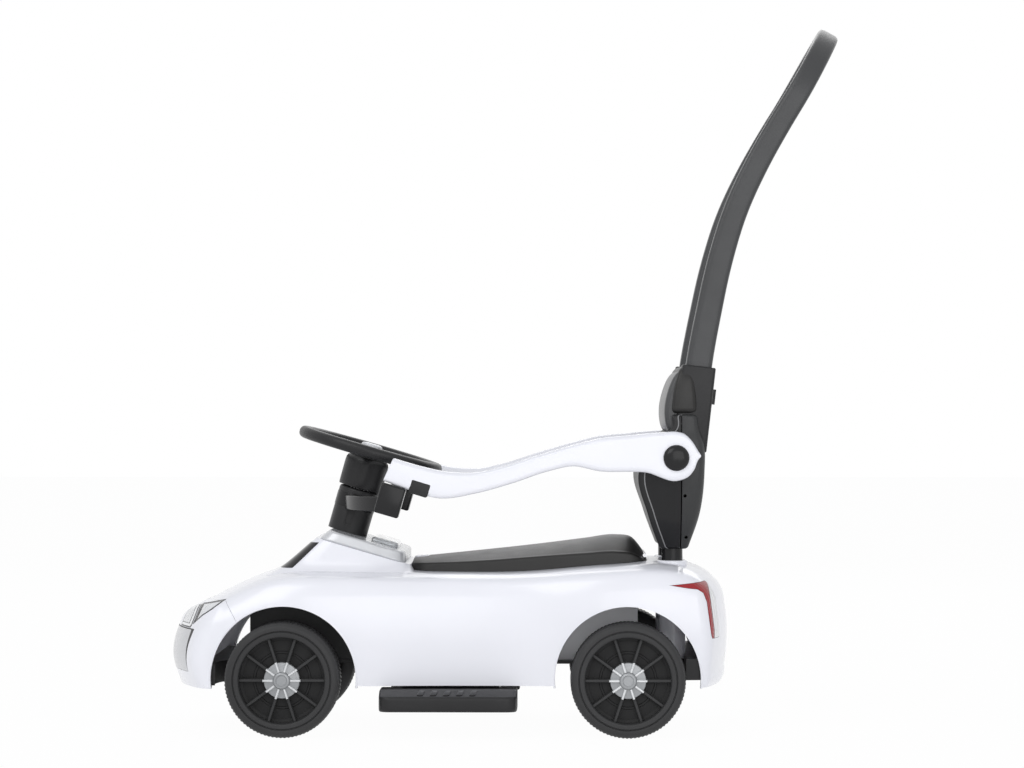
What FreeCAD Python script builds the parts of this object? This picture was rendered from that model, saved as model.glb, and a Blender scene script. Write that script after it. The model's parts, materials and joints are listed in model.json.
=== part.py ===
import FreeCAD
import Part
import math
import os

# Push car with a parent handle, in millimetres.
# Front is -X, the car's left side is -Y and +Z is up.
# The origin lies on the ground, under the middle of the box.

doc = FreeCAD.newDocument("PushCar")
sheet = doc.addObject("Spreadsheet::Sheet", "Sizes")


# Driving dimensions.
SIZES = {
    # Clearances and cuts.
    "overrun": 60,
    "running_gap": 0.05,
    "part_gap": 0.3,
    "seam_gap": 0.2,
    # Body shell.
    "nose_x": -450,
    "tail_x": 295,
    "body_half_width": 162,
    "deck_height": 226,
    "shell_wall": 3.5,
    "sill_height": 66,
    "nose_bottom": 56,
    "tail_bottom": 62,
    "nose_tip_height": 100,
    "nose_rake": 13,
    "nose_roll": 18,
    "nose_roll_height": 160,
    "tail_tip_height": 165,
    "tail_roll": 21,
    "tail_roll_height": 206,
    "bumper_tuck": 25,
    "nose_bow": 55,
    "tail_bow": 34,
    "arch_radius": 95,
    # Wheels and axles.
    "wheel_radius": 75,
    "wheel_width": 55,
    "wheel_outer_y": 180,
    "wheelbase": 450,
    "rear_axle_x": 161,
    "rim_opening_radius": 56,
    "dish_floor_radius": 47,
    "dish_depth": 14,
    "disc_thickness": 6,
    "back_hollow_radius": 57,
    "wheel_boss_radius": 14,
    "axle_radius": 5,
    "axle_end_inset": 8,
    "spoke_width": 4.5,
    "spoke_height": 7,
    "hub_cap_radius": 23.5,
    "hub_cap_height": 12,
    "hub_cap_wall": 3.5,
    "hub_boss_radius": 8.6,
    "hub_boss_height": 2,
    "push_nut_radius": 8,
    "push_nut_thickness": 2.5,
    # Front axle and steering linkage.
    "kingpin_y": 128,
    "kingpin_radius": 5,
    "knuckle_sleeve_radius": 9,
    "beam_half_depth": 9,
    "beam_bottom": 54,
    "lug_thickness": 6,
    "beam_half_span": 112,
    "lug_end": 10,
    "steering_arm": 36,
    "arm_half_width": 8,
    "arm_thickness": 6,
    "link_thickness": 5.5,
    "link_half_width": 5,
    "link_pin_radius": 4,
    "link_bottom": 54,
    "crank_thickness": 6,
    "crank_hub_radius": 10,
    "crank_half_width": 6,
    "crank_rise": 12,
    "ball_radius": 4,
    "ball_play": 0.5,
    "ball_neck_radius": 2.6,
    # Steering column.
    "steering_x": -184,
    "steering_height": 371.5,
    "steering_tilt_angle": 16,
    "steering_wheel_radius": 100,
    "steering_rim_radius": 8,
    "wheel_spoke_half_width": 11,
    "wheel_spoke_thickness": 9,
    "shaft_radius": 8,
    "hub_top_radius": 26,
    "hub_skirt_radius": 30,
    "hub_skirt_bottom": -53,
    "hub_skirt_top": -12,
    "hub_wall": 4,
    "hub_lid": 6,
    "housing_radius": 27,
    "housing_bore_radius": 14,
    "housing_top": -54,
    "bush_length": 20,
    "horn_radius": 14,
    "horn_height": 5,
    "horn_depth": 8,
    "horn_travel": 2,
    "battery_cover_thickness": 3,
    # Cowl and dash.
    "cowl_base_front": -327,
    "cowl_top_front": -220,
    "cowl_rear": -127,
    "cowl_base_height": 190,
    "cowl_top_height": 285,
    "cowl_base_half_width": 116,
    "cowl_top_half_width": 84,
    "cowl_corner_radius": 16,
    "dash_top": -114.6,
    "dash_thickness": 14,
    "dash_lens_length": 34,
    "dash_lens_half_width": 46,
    "dash_lens_height": 5,
    "dash_lens_inset": 8,
    "screen_low": 216,
    "screen_high": 251,
    "screen_half_width": 84,
    # Floor, bin and tower.
    "floor_bottom": 90,
    "floor_thickness": 4,
    "floor_front_half_width": 78,
    "floor_middle_half_width": 130,
    "floor_rear_half_width": 90,
    "floor_middle_front": -180,
    "floor_middle_rear": 55,
    "bin_front": -118,
    "bin_rear": 176,
    "bin_half_width": 72,
    "bin_top": 205,
    "bin_wall": 2.5,
    "tower_front": -340,
    "tower_rear": -198,
    "tower_half_width": 76,
    "tower_top": 190,
    "tower_wall": 3,
    "boss_radius": 6,
    "boss_front_x": -150,
    "boss_rear_x": 35,
    "boss_y": 105,
    "screw_radius": 2,
    "screw_head_radius": 4.5,
    "screw_head_height": 3,
    "screw_grip": 22,
    "front_brace_x": -381,
    "rear_brace_x": 250,
    "brace_half_depth": 13,
    "brace_height": 28,
    "front_brace_bottom": 66,
    "rear_brace_bottom": 74,
    "carrier_half_depth": 15,
    "carrier_bottom": 62,
    "carrier_half_span": 110,
    # Seat lid.
    "seat_rear": 184,
    "seat_half_width": 86,
    "seat_peak_height": 258,
    "seat_base_height": 205,
    "lid_gap": 0.5,
    "lid_front_gap": 1,
    "hinge_x": 186,
    "hinge_height": 232.2,
    "hinge_barrel_radius": 5,
    "hinge_pin_radius": 2.5,
    "hinge_half_length": 50,
    "hinge_ear_width": 6,
    "hinge_ear_depth": 10,
    "hinge_ear_root": 14,
    "hinge_relief": 10,
    # Backrest.
    "backrest_bottom": 242,
    "backrest_top": 421,
    "pad_top": 485,
    "backrest_half_width": 127,
    "backrest_front_x": 176,
    "backrest_rear_x": 263,
    "backrest_split_x": 222,
    "backrest_corner_radius": 11,
    "backrest_wall": 3.5,
    "post_x": 222,
    "post_y": 66,
    "post_radius": 14,
    "post_top": 262,
    "post_screw_grip": 36,
    # Guard arms.
    "guard_pivot_x": 224.4,
    "guard_pivot_height": 363.8,
    "guard_inner_y": 128,
    "guard_thickness": 24,
    "guard_length": 384.4,
    "guard_pin_radius": 8,
    "knob_radius": 17,
    "knob_height": 8,
    "bracket_band": 20,
    "bracket_wall": 7,
    "bracket_height": 302,
    "bracket_front_x": -216,
    "bracket_bow_radius": 151,
    "bracket_collar_wall": 5,
    "block_length": 33,
    "block_width": 26,
    "block_drop": 40,
    "block_x": -150,
    "block_y": 140,
    "block_height": 308,
    # Push handle and sleeves.
    "handle_lean_angle": 6.5,
    "sleeve_x": 256,
    "sleeve_top_height": 484,
    "sleeve_length": 112,
    "handle_leg_y": 100,
    "handle_depth": 36,
    "handle_top_depth": 29,
    "handle_width": 26,
    "handle_top_x": 437.6,
    "handle_top_height": 936,
    "handle_top_lean_angle": 31,
    "sleeve_wall": 4,
    "keyway_width": 16,
    "keyway_depth": 9,
    "handle_button_width": 8,
    "handle_button_height": 20,
    "handle_button_drop": 38,
    "handle_button_proud": 4,
    "handle_button_flange": 2,
    # Footrests.
    "footrest_front": -163,
    "footrest_rear": 17,
    "footrest_outer_y": 190,
    "footrest_inner_y": 124,
    "footrest_bottom": 35,
    "footrest_height": 20,
    "tread_height": 2,
    "tread_inset": 8,
    "tread_width": 30,
    "footrest_corner_radius": 12,
    "rail_radius": 5,
    "rail_inset": 45,
    "rail_end_y": 50,
    "rail_stop_y": 8,
    "rail_height": 46,
    "footrest_carrier_half_width": 84,
    "footrest_carrier_inset": 25,
    # Lamps and grille.
    "grille_half_width": 92,
    "grille_low": 76,
    "grille_high": 138,
    "grille_depth": 60,
    "headlight_inner_y": 62,
    "tail_light_inner_y": 112,
}


class Size:
    """A length worked out from the sheet: its present value and the expression that gives it."""

    def __init__(self, value, text):
        self.value = float(value)
        self.text = text

    def __float__(self):
        return self.value

    def __neg__(self):
        return Size(-self.value, f"(-{self.text})")

    def __add__(self, other):
        return Size(self.value + float(other), f"({self.text} + {text_of(other)})")

    def __radd__(self, other):
        return Size(float(other) + self.value, f"({text_of(other)} + {self.text})")

    def __sub__(self, other):
        return Size(self.value - float(other), f"({self.text} - {text_of(other)})")

    def __rsub__(self, other):
        return Size(float(other) - self.value, f"({text_of(other)} - {self.text})")

    def __mul__(self, other):
        return Size(self.value * float(other), f"({self.text} * {text_of(other)})")

    __rmul__ = __mul__

    def __truediv__(self, other):
        return Size(self.value / float(other), f"({self.text} / {text_of(other)})")


def text_of(number):
    """The expression of a Size, or of a plain number."""
    if isinstance(number, Size):
        return number.text
    return f"({float(number)!r})"


def diagonal(first, second):
    """The third side of a right triangle."""
    text = f"sqrt({first.text} * {first.text} + {second.text} * {second.text})"
    return Size(math.hypot(float(first), float(second)), text)


class SizeTable:
    """The driving dimensions: each one is a cell of the sheet, read back by its alias."""

    def __init__(self, values):
        for row, (alias, value) in enumerate(values.items(), start=1):
            sheet.set(f"A{row}", alias)
            sheet.set(f"B{row}", str(value))
            sheet.setAlias(f"B{row}", alias)
            setattr(self, alias, Size(value, f"Sizes.{alias}"))


size = SizeTable(SIZES)

# Values that several pieces share.
front_axle_x = size.rear_axle_x - size.wheelbase
axle_height = size.wheel_radius
wheel_inner_y = size.wheel_outer_y - size.wheel_width
disc_outer_y = size.wheel_outer_y - size.dish_depth
disc_inner_y = disc_outer_y - size.disc_thickness
boss_end_y = size.kingpin_y + size.knuckle_sleeve_radius + 3 * size.part_gap
axle_end_y = size.wheel_outer_y - size.axle_end_inset
axle_bore = size.axle_radius + size.running_gap
floor_top = size.floor_bottom + size.floor_thickness
crank_ball_height = size.link_bottom + size.link_thickness / 2
guard_outer_y = size.guard_inner_y + size.guard_thickness
sleeve_depth = size.handle_depth + 2 * (size.part_gap + size.sleeve_wall)
sleeve_width = size.handle_width + 2 * (size.part_gap + size.sleeve_wall)

NO_LENGTH = Size(0, "0")
pieces = {}


class Frame:
    """A plane of work tilted about Y: local X and Z at a point of the car."""

    def __init__(self, x, z, tilt):
        self.x = x
        self.z = z
        self.tilt = tilt
        self.sine = Size(math.sin(math.radians(float(tilt))), f"sin({text_of(tilt)} * 1 deg)")
        self.cosine = Size(math.cos(math.radians(float(tilt))), f"cos({text_of(tilt)} * 1 deg)")

    def point(self, x, z):
        """The car's X and Z of a local point."""
        return (self.x + x * self.cosine + z * self.sine, self.z - x * self.sine + z * self.cosine)

    def rotation(self):
        """The turn from the car's axes to the local ones."""
        return FreeCAD.Rotation(FreeCAD.Vector(0, 1, 0), float(self.tilt))


level = Frame(NO_LENGTH, NO_LENGTH, NO_LENGTH)
column = Frame(size.steering_x, size.steering_height, size.steering_tilt_angle)
lean = Frame(size.sleeve_x, size.sleeve_top_height, size.handle_lean_angle)


def place(solid, x, y, z, frame, turn=FreeCAD.Rotation()):
    """Turn a primitive and bind its place to the sheet."""
    solid.Placement = FreeCAD.Placement(FreeCAD.Vector(), frame.rotation().multiply(turn))
    base_x, base_z = frame.point(x, z)
    for axis, value in (("x", base_x), ("y", y), ("z", base_z)):
        solid.setExpression(f"Placement.Base.{axis}", text_of(value))
    return solid


def box(name, x, y, z, frame=level):
    """A box between the two values of each axis."""
    solid = doc.addObject("Part::Box", name)
    for side, (low, high) in zip(("Length", "Width", "Height"), (x, y, z)):
        solid.setExpression(side, text_of(high - low))
    return place(solid, x[0], y[0], z[0], frame)


def upright(name, radius, x, y, z, frame=level):
    """A cylinder along Z between two heights."""
    solid = doc.addObject("Part::Cylinder", name)
    solid.setExpression("Radius", text_of(radius))
    solid.setExpression("Height", text_of(z[1] - z[0]))
    return place(solid, x, y, z[0], frame)


def crosswise(name, radius, x, y, z, frame=level):
    """A cylinder along Y between two sides."""
    solid = doc.addObject("Part::Cylinder", name)
    solid.setExpression("Radius", text_of(radius))
    solid.setExpression("Height", text_of(y[1] - y[0]))
    return place(solid, x, y[0], z, frame, FreeCAD.Rotation(FreeCAD.Vector(1, 0, 0), -90))


def cone(name, low_radius, high_radius, x, y, z, frame=level):
    """A cone along Z, with its radius at each end."""
    solid = doc.addObject("Part::Cone", name)
    solid.setExpression("Radius1", text_of(low_radius))
    solid.setExpression("Radius2", text_of(high_radius))
    solid.setExpression("Height", text_of(z[1] - z[0]))
    return place(solid, x, y, z[0], frame)


def crosswise_cone(name, low_radius, high_radius, x, y, z):
    """A cone along Y, with its radius at each end."""
    solid = doc.addObject("Part::Cone", name)
    solid.setExpression("Radius1", text_of(low_radius))
    solid.setExpression("Radius2", text_of(high_radius))
    solid.setExpression("Height", text_of(y[1] - y[0]))
    return place(solid, x, y[0], z, level, FreeCAD.Rotation(FreeCAD.Vector(1, 0, 0), -90))


def fuse(name, *solids):
    """The union of several solids."""
    union = doc.addObject("Part::MultiFuse", name)
    union.Shapes = list(solids)
    return union


def common(name, *solids):
    """What several solids share."""
    shared = doc.addObject("Part::MultiCommon", name)
    shared.Shapes = list(solids)
    return shared


def cut(name, base, *tools):
    """A solid less one or more others."""
    rest = doc.addObject("Part::Cut", name)
    rest.Base = base
    rest.Tool = tools[0] if len(tools) == 1 else fuse(f"{name}_tools", *tools)
    return rest


def mirror(name, source):
    """The same solid on the other side of the car."""
    copy = doc.addObject("Part::Mirroring", name)
    copy.Source = source
    copy.Normal = FreeCAD.Vector(0, 1, 0)
    return copy


def feature(name, shape):
    """A solid that is made from curves."""
    solid = doc.addObject("Part::Feature", name)
    solid.Shape = shape
    return solid


def piece(label, solid):
    """Name a finished piece of the car."""
    solid.Label = label
    pieces[label] = solid
    return solid


def pair(label, left):
    """Name a left piece and its mirror image."""
    piece(f"{label}_left", left)
    piece(f"{label}_right", mirror(f"mirrored_{label}", left))


def both(y_low, y_high):
    """The span of a left-side piece, whose Y is negative."""
    return (-y_high, -y_low)


def vector(x, y, z):
    """A point from three sizes."""
    return FreeCAD.Vector(float(x), float(y), float(z))


def around(half):
    """A span that is even about the middle."""
    return (-half, half)


def polyline(points):
    """Straight edges through a list of points."""
    return [Part.makeLine(start, end) for start, end in zip(points, points[1:])]


def arc(start, through, end):
    """An arc through three points."""
    return Part.Arc(start, through, end).toShape()


def curve(points):
    """A smooth edge through a list of points."""
    spline = Part.BSplineCurve()
    spline.interpolate(points)
    return spline.toShape()


def prism(edges, depth):
    """The solid that a flat outline sweeps along a vector."""
    return Part.Face(Part.Wire(edges)).extrude(depth)


def rounded_outline(x, y, z, radius):
    """A level rectangle with round corners, as one closed wire."""
    (x_low, x_high), (y_low, y_high) = x, y
    diagonal = radius * (1 - math.sqrt(0.5))
    corners = (
        ((x_high, y_low + radius), (x_high, y_high - radius), (x_high - diagonal, y_high - diagonal)),
        ((x_high - radius, y_high), (x_low + radius, y_high), (x_low + diagonal, y_high - diagonal)),
        ((x_low, y_high - radius), (x_low, y_low + radius), (x_low + diagonal, y_low + diagonal)),
        ((x_low + radius, y_low), (x_high - radius, y_low), (x_high - diagonal, y_low + diagonal)),
    )
    edges = []
    for index, (start, end, middle) in enumerate(corners):
        following = corners[(index + 1) % len(corners)][0]
        edges.append(Part.makeLine(FreeCAD.Vector(*start, z), FreeCAD.Vector(*end, z)))
        edges.append(arc(FreeCAD.Vector(*end, z), FreeCAD.Vector(*middle, z), FreeCAD.Vector(*following, z)))
    return Part.Wire(edges)


# Body hull.
# Each station gives its place along the body, its half width and its crown, as shares of the body's own sizes.
HULL_SHARES = (
    (-0.010, 0.895, 0.640),
    (0.040, 0.920, 0.758),
    (0.107, 0.957, 0.858),
    (0.201, 1.000, 0.942),
    (0.336, 0.975, 0.955),
    (0.470, 0.920, 0.947),
    (0.644, 0.926, 0.951),
    (0.779, 0.988, 0.987),
    (0.886, 0.994, 1.000),
    (0.973, 0.938, 0.973),
    (1.010, 0.900, 0.945),
)
# A section's points from the sill to the crown: shares of its half width and of its height.
FOOT_SHARE = 0.965
BELT_SHARES = (1.0, 0.58)
FLANK_SHARES = (0.990, 0.78)
SHOULDER_SHARES = (0.950, 0.890)
EDGE_SHARES = (0.905, 0.945)
DECK_SHARES = (0.800, 0.974)
body_length = size.tail_x - size.nose_x


def hull_section(station, inset):
    """The outline of the body across one station, moved in by a wall."""
    place_share, width_share, crown_share = station
    x = float(size.nose_x + body_length * place_share)
    half = float(size.body_half_width * width_share - inset)
    top = float(size.deck_height * crown_share - inset)
    foot = float(size.nose_bottom - size.overrun / 2)

    def point(side, shares):
        return FreeCAD.Vector(x, side * half * shares[0], top * shares[1])

    left_foot = FreeCAD.Vector(x, -half * FOOT_SHARE, foot)
    right_foot = FreeCAD.Vector(x, half * FOOT_SHARE, foot)
    edges = [Part.makeLine(left_foot, right_foot), Part.makeLine(right_foot, point(1, BELT_SHARES))]
    edges.append(arc(point(1, BELT_SHARES), point(1, FLANK_SHARES), point(1, SHOULDER_SHARES)))
    edges.append(arc(point(1, SHOULDER_SHARES), point(1, EDGE_SHARES), point(1, DECK_SHARES)))
    edges.append(arc(point(1, DECK_SHARES), FreeCAD.Vector(x, 0, top), point(-1, DECK_SHARES)))
    edges.append(arc(point(-1, DECK_SHARES), point(-1, EDGE_SHARES), point(-1, SHOULDER_SHARES)))
    edges.append(arc(point(-1, SHOULDER_SHARES), point(-1, FLANK_SHARES), point(-1, BELT_SHARES)))
    edges.append(Part.makeLine(point(-1, BELT_SHARES), left_foot))
    return Part.Wire(edges)


def side_outline(inset, drop):
    """The body seen from the side: its nose and tail, and a bottom lowered by drop."""
    reach = size.body_half_width + size.overrun
    nose = size.nose_x + inset
    tail = size.tail_x - inset
    above = size.cowl_top_height + size.overrun

    def at(x, z):
        return vector(x, -reach, z)

    nose_low = at(nose + size.nose_rake, size.nose_bottom - drop)
    nose_high = at(nose + size.nose_roll, size.nose_roll_height - inset)
    nose_top = at(nose + size.nose_roll * 2, above)
    tail_top = at(tail - size.tail_roll, above)
    tail_high = at(tail - size.tail_roll, size.tail_roll_height - inset)
    tail_tip = at(tail, size.tail_tip_height - inset)
    tail_low = at(tail, size.sill_height)
    tail_foot = at(tail - size.bumper_tuck, size.tail_bottom - drop)
    sill_rear = at(size.rear_axle_x - size.arch_radius, size.sill_height - drop)
    sill_front = at(front_axle_x + size.arch_radius, size.sill_height - drop)
    edges = [arc(nose_low, at(nose, size.nose_tip_height), nose_high)]
    edges += polyline([nose_high, nose_top, tail_top, tail_high])
    bulge = at(tail - size.tail_roll / 3, (size.tail_roll_height * 2 + size.tail_tip_height) / 3 - inset)
    edges.append(arc(tail_high, bulge, tail_tip))
    edges += polyline([tail_tip, tail_low, tail_foot, sill_rear, sill_front, nose_low])
    return prism(edges, FreeCAD.Vector(0, 2 * float(reach), 0))


def plan_outline(inset):
    """The body seen from above: a bowed nose and tail between straight sides."""
    reach = size.body_half_width + size.shell_wall
    bottom = size.nose_bottom - size.overrun
    height = float(size.cowl_top_height + 2 * size.overrun)
    nose = size.nose_x + inset
    tail = size.tail_x - inset
    nose_left = vector(nose + size.nose_bow, -reach, bottom)
    nose_right = vector(nose + size.nose_bow, reach, bottom)
    tail_left = vector(tail - size.tail_bow, -reach, bottom)
    tail_right = vector(tail - size.tail_bow, reach, bottom)
    edges = [
        arc(nose_left, vector(nose, 0, bottom), nose_right),
        Part.makeLine(nose_right, tail_right),
        arc(tail_right, vector(tail, 0, bottom), tail_left),
        Part.makeLine(tail_left, nose_left),
    ]
    return prism(edges, FreeCAD.Vector(0, 0, height))


def hull(inset, drop):
    """The lower body as a solid, moved in by a wall and opened below by drop."""
    loft = Part.makeLoft([hull_section(station, inset) for station in HULL_SHARES], True, False)
    return loft.common(side_outline(inset, drop)).common(plan_outline(inset))


def cowl(inset, rise):
    """The raised scuttle in front of the seat, drawn in towards its top."""
    outlines = []
    for front, half, height in (
        (size.cowl_base_front, size.cowl_base_half_width, size.cowl_base_height - rise),
        (size.cowl_top_front, size.cowl_top_half_width, size.cowl_top_height + rise),
    ):
        x = (float(front + inset), float(size.cowl_rear - inset))
        y = (float(inset - half), float(half - inset))
        outlines.append(rounded_outline(x, y, float(height), float(size.cowl_corner_radius - inset)))
    return Part.makeLoft(outlines, True, True)


def column_slab(name, low, high):
    """Everything between two levels across the steering column."""
    reach = around(size.body_half_width + size.overrun)
    return box(name, reach, reach, (low, high), column)


dash_bottom = size.dash_top - size.dash_thickness
above_dash = size.housing_top
body_solid = feature("body_solid", hull(NO_LENGTH, NO_LENGTH))
cavity = feature("body_cavity", hull(size.shell_wall, size.overrun))
cowl_solid = feature("cowl_solid", cowl(NO_LENGTH, NO_LENGTH))
cowl_cavity = feature("cowl_cavity", cowl(size.shell_wall, size.shell_wall))
low_cowl = cut("low_cowl", cowl_solid, column_slab("cowl_trim", dash_bottom, above_dash))
filled_body = fuse("filled_body", body_solid, low_cowl)
open_inside = fuse("open_inside", cavity, cowl_cavity)


def arches():
    """The four wheel openings, as two cylinders right through the body."""
    reach = around(size.body_half_width + size.overrun)
    return [
        crosswise(f"{end}_arch", size.arch_radius, x, reach, axle_height)
        for end, x in (("front", front_axle_x), ("rear", size.rear_axle_x))
    ]


body_wall = cut("body_wall", filled_body, open_inside, *arches())


# Lamps, grille and windscreen: panels of the body's own wall, each in an opening with an even seam.
# Their corners are shares of the body's length from the nose and of the deck's height.
HEADLIGHT_SHARES = ((0.109, 0.777), (0.048, 0.785), (-0.010, 0.700), (-0.010, 0.620), (0.055, 0.637))
TAIL_LIGHT_SHARES = (
    (0.897, 0.871),
    (1.030, 0.900),
    (1.030, 0.566),
    (0.971, 0.566),
    (0.964, 0.712),
    (0.955, 0.811),
    (0.938, 0.847),
)


def lamp_prism(shares, inner_y, gap):
    """A lamp's outline on the left side, carried across from its inner edge to past the body."""
    corners = [
        vector(size.nose_x + body_length * along, -inner_y + gap, size.deck_height * up) for along, up in shares
    ]
    face = Part.Face(Part.makePolygon(corners + corners[:1]))
    if float(gap):
        face = face.makeOffset2D(float(gap), join=2)
    return face.extrude(FreeCAD.Vector(0, -float(size.body_half_width), 0))


def grille_box(name, gap):
    """The grille's place in the nose."""
    return box(
        name,
        (size.nose_x - size.overrun, size.nose_x + size.grille_depth),
        around(size.grille_half_width + gap),
        (size.grille_low - gap, size.grille_high + gap),
    )


def screen_box(name, gap):
    """The windscreen's place in the front of the cowl."""
    return box(
        name,
        (size.cowl_base_front - size.overrun, size.cowl_top_front - size.cowl_corner_radius),
        around(size.screen_half_width + gap),
        (size.screen_low - gap, size.screen_high + gap),
    )


panel_openings = [grille_box("grille_opening", size.seam_gap), screen_box("screen_opening", size.seam_gap)]
piece("front_grille", common("grille_panel", body_wall, grille_box("grille_place", NO_LENGTH)))
piece("windscreen", common("screen_panel", body_wall, screen_box("screen_place", NO_LENGTH)))
for lamp, shares, inner_y in (
    ("headlight", HEADLIGHT_SHARES, size.headlight_inner_y),
    ("tail_light", TAIL_LIGHT_SHARES, size.tail_light_inner_y),
):
    lamp_place = feature(f"{lamp}_place", lamp_prism(shares, inner_y, NO_LENGTH))
    pair(lamp, common(f"{lamp}_panel", body_wall, lamp_place))
    opening = feature(f"{lamp}_opening", lamp_prism(shares, inner_y, size.seam_gap))
    panel_openings += [opening, mirror(f"{lamp}_opening_right", opening)]


# Body shell, with its screw bosses and the ears of the seat hinge.
boss_places = [(x, side * size.boss_y) for x in (size.boss_front_x, size.boss_rear_x) for side in (-1, 1)]
post_places = [(size.post_x, side * size.post_y) for side in (-1, 1)]
screw_bore = size.screw_radius + size.running_gap
hinge_bore = size.hinge_pin_radius + size.running_gap
ear_inner = size.hinge_half_length + size.part_gap * 2
bosses = [
    common(
        f"boss_{index}",
        filled_body,
        upright(f"boss_rod_{index}", size.boss_radius, x, y, (floor_top, size.deck_height)),
    )
    for index, (x, y) in enumerate(boss_places)
]
boss_bores = [
    upright(f"boss_bore_{index}", screw_bore, x, y, (size.floor_bottom, floor_top + size.screw_grip))
    for index, (x, y) in enumerate(boss_places)
]
left_ear = box(
    "hinge_ear",
    (size.hinge_x - size.hinge_ear_depth / 2, size.hinge_x + size.hinge_ear_depth / 2),
    both(ear_inner, ear_inner + size.hinge_ear_width),
    (size.hinge_height - size.hinge_ear_root, size.hinge_height + size.hinge_ear_depth / 2),
)
bin_opening = box(
    "bin_opening",
    (size.bin_front - size.lid_gap, size.bin_rear + size.lid_gap),
    around(size.bin_half_width + size.lid_gap),
    (floor_top, size.deck_height + size.overrun),
)
post_openings = [
    upright(
        f"post_opening_{index}",
        size.post_radius + size.seam_gap,
        x,
        y,
        (floor_top, size.deck_height + size.overrun),
    )
    for index, (x, y) in enumerate(post_places)
]
hinge_hole = crosswise(
    "hinge_hole", hinge_bore, size.hinge_x, around(size.body_half_width / 2), size.hinge_height
)
shell_wall = cut("shell_wall", body_wall, bin_opening, *post_openings, *panel_openings)
shell_solid = fuse("shell_solid", shell_wall, *bosses, left_ear, mirror("hinge_ear_right", left_ear))
piece("body_shell", cut("shell", shell_solid, hinge_hole, *boss_bores))
piece(
    "seat_hinge_pin",
    crosswise(
        "hinge_pin",
        size.hinge_pin_radius,
        size.hinge_x,
        around(ear_inner + size.hinge_ear_width),
        size.hinge_height,
    ),
)


# Dash and steering column.
shaft_hole = upright(
    "shaft_hole", size.shaft_radius + 2 * size.part_gap, NO_LENGTH, NO_LENGTH, (dash_bottom, size.dash_top), column
)
dash_slab = column_slab("dash_slab", dash_bottom, size.dash_top)
piece("dash_plate", cut("dash", common("dash_blank", cowl_solid, dash_slab), shaft_hole))
dash_rear = (size.cowl_rear - size.steering_x - size.dash_top * column.sine) / column.cosine
piece(
    "dash_lens",
    box(
        "lens",
        (dash_rear - size.dash_lens_inset - size.dash_lens_length, dash_rear - size.dash_lens_inset),
        around(size.dash_lens_half_width),
        (size.dash_top, size.dash_top + size.dash_lens_height),
        column,
    ),
)


def column_rod(name, radius, low, high):
    """A round length of the steering column."""
    return upright(name, radius, NO_LENGTH, NO_LENGTH, (low, high), column)


bush_bottom = size.housing_top - size.bush_length
piece(
    "column_housing",
    cut(
        "housing",
        column_rod("housing_tube", size.housing_radius, size.dash_top, size.housing_top),
        column_rod("housing_bore", size.housing_bore_radius, size.dash_top, size.housing_top),
    ),
)
piece(
    "shaft_bush",
    cut(
        "bush",
        column_rod("bush_ring", size.housing_bore_radius - size.running_gap, bush_bottom, size.housing_top),
        column_rod("bush_bore", size.shaft_radius + size.running_gap, bush_bottom, size.housing_top),
    ),
)


# Steering wheel, hub and horn, which turn with the shaft.
def steering_wheel():
    """The rim, its three spokes and the round middle with a well for the horn."""
    rim = doc.addObject("Part::Torus", "wheel_rim")
    rim.setExpression("Radius1", text_of(size.steering_wheel_radius - size.steering_rim_radius))
    rim.setExpression("Radius2", text_of(size.steering_rim_radius))
    place(rim, NO_LENGTH, NO_LENGTH, NO_LENGTH, column)
    spoke_end = size.steering_wheel_radius - size.steering_rim_radius
    depth = (-size.wheel_spoke_thickness / 2, size.wheel_spoke_thickness / 2)
    narrow = around(size.wheel_spoke_half_width)
    side_spokes = box("side_spokes", narrow, around(spoke_end), depth, column)
    rear_spoke = box("rear_spoke", (NO_LENGTH, spoke_end), narrow, depth, column)
    middle = column_rod("wheel_middle", size.hub_top_radius, size.hub_skirt_top, depth[1])
    well = column_rod("horn_well", size.horn_radius + size.part_gap, depth[1] - size.horn_depth, depth[1])
    return cut("rimmed_wheel", fuse("wheel_parts", rim, side_spokes, rear_spoke, middle), well)


wheel_middle_top = size.wheel_spoke_thickness / 2
piece("steering_wheel", steering_wheel())
piece(
    "horn_button",
    column_rod(
        "horn",
        size.horn_radius,
        wheel_middle_top - size.horn_depth + size.horn_travel + size.part_gap,
        wheel_middle_top + size.horn_height,
    ),
)
hub_bore_radius = size.hub_top_radius - size.hub_wall
hub_inside_top = size.hub_skirt_top - size.hub_lid
shaft_bore = size.shaft_radius + size.running_gap
piece(
    "steering_hub",
    cut(
        "hub",
        cone(
            "hub_skirt",
            size.hub_skirt_radius,
            size.hub_top_radius,
            NO_LENGTH,
            NO_LENGTH,
            (size.hub_skirt_bottom, size.hub_skirt_top),
            column,
        ),
        column_rod("hub_hollow", hub_bore_radius, size.hub_skirt_bottom, hub_inside_top),
        column_rod("hub_bore", shaft_bore, hub_inside_top, size.hub_skirt_top),
    ),
)


def hub_ring(name, low, high):
    """A ring that fills the hub round the shaft."""
    return cut(
        name,
        column_rod(f"{name}_disc", hub_bore_radius - size.seam_gap, low, high),
        column_rod(f"{name}_hole", shaft_bore + size.seam_gap, low, high),
    )


cover_top = size.hub_skirt_bottom + size.battery_cover_thickness
piece("sound_module", hub_ring("module", cover_top + size.seam_gap, hub_inside_top))
piece("battery_cover", hub_ring("cover", size.hub_skirt_bottom, cover_top))

ball_level = (crank_ball_height - size.steering_height + size.steering_arm * column.sine) / column.cosine
ball_x = column.point(size.steering_arm, ball_level)[0]
crank_level = ball_level + size.crank_rise
crank_span = (crank_level - size.crank_thickness / 2, crank_level + size.crank_thickness / 2)


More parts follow.
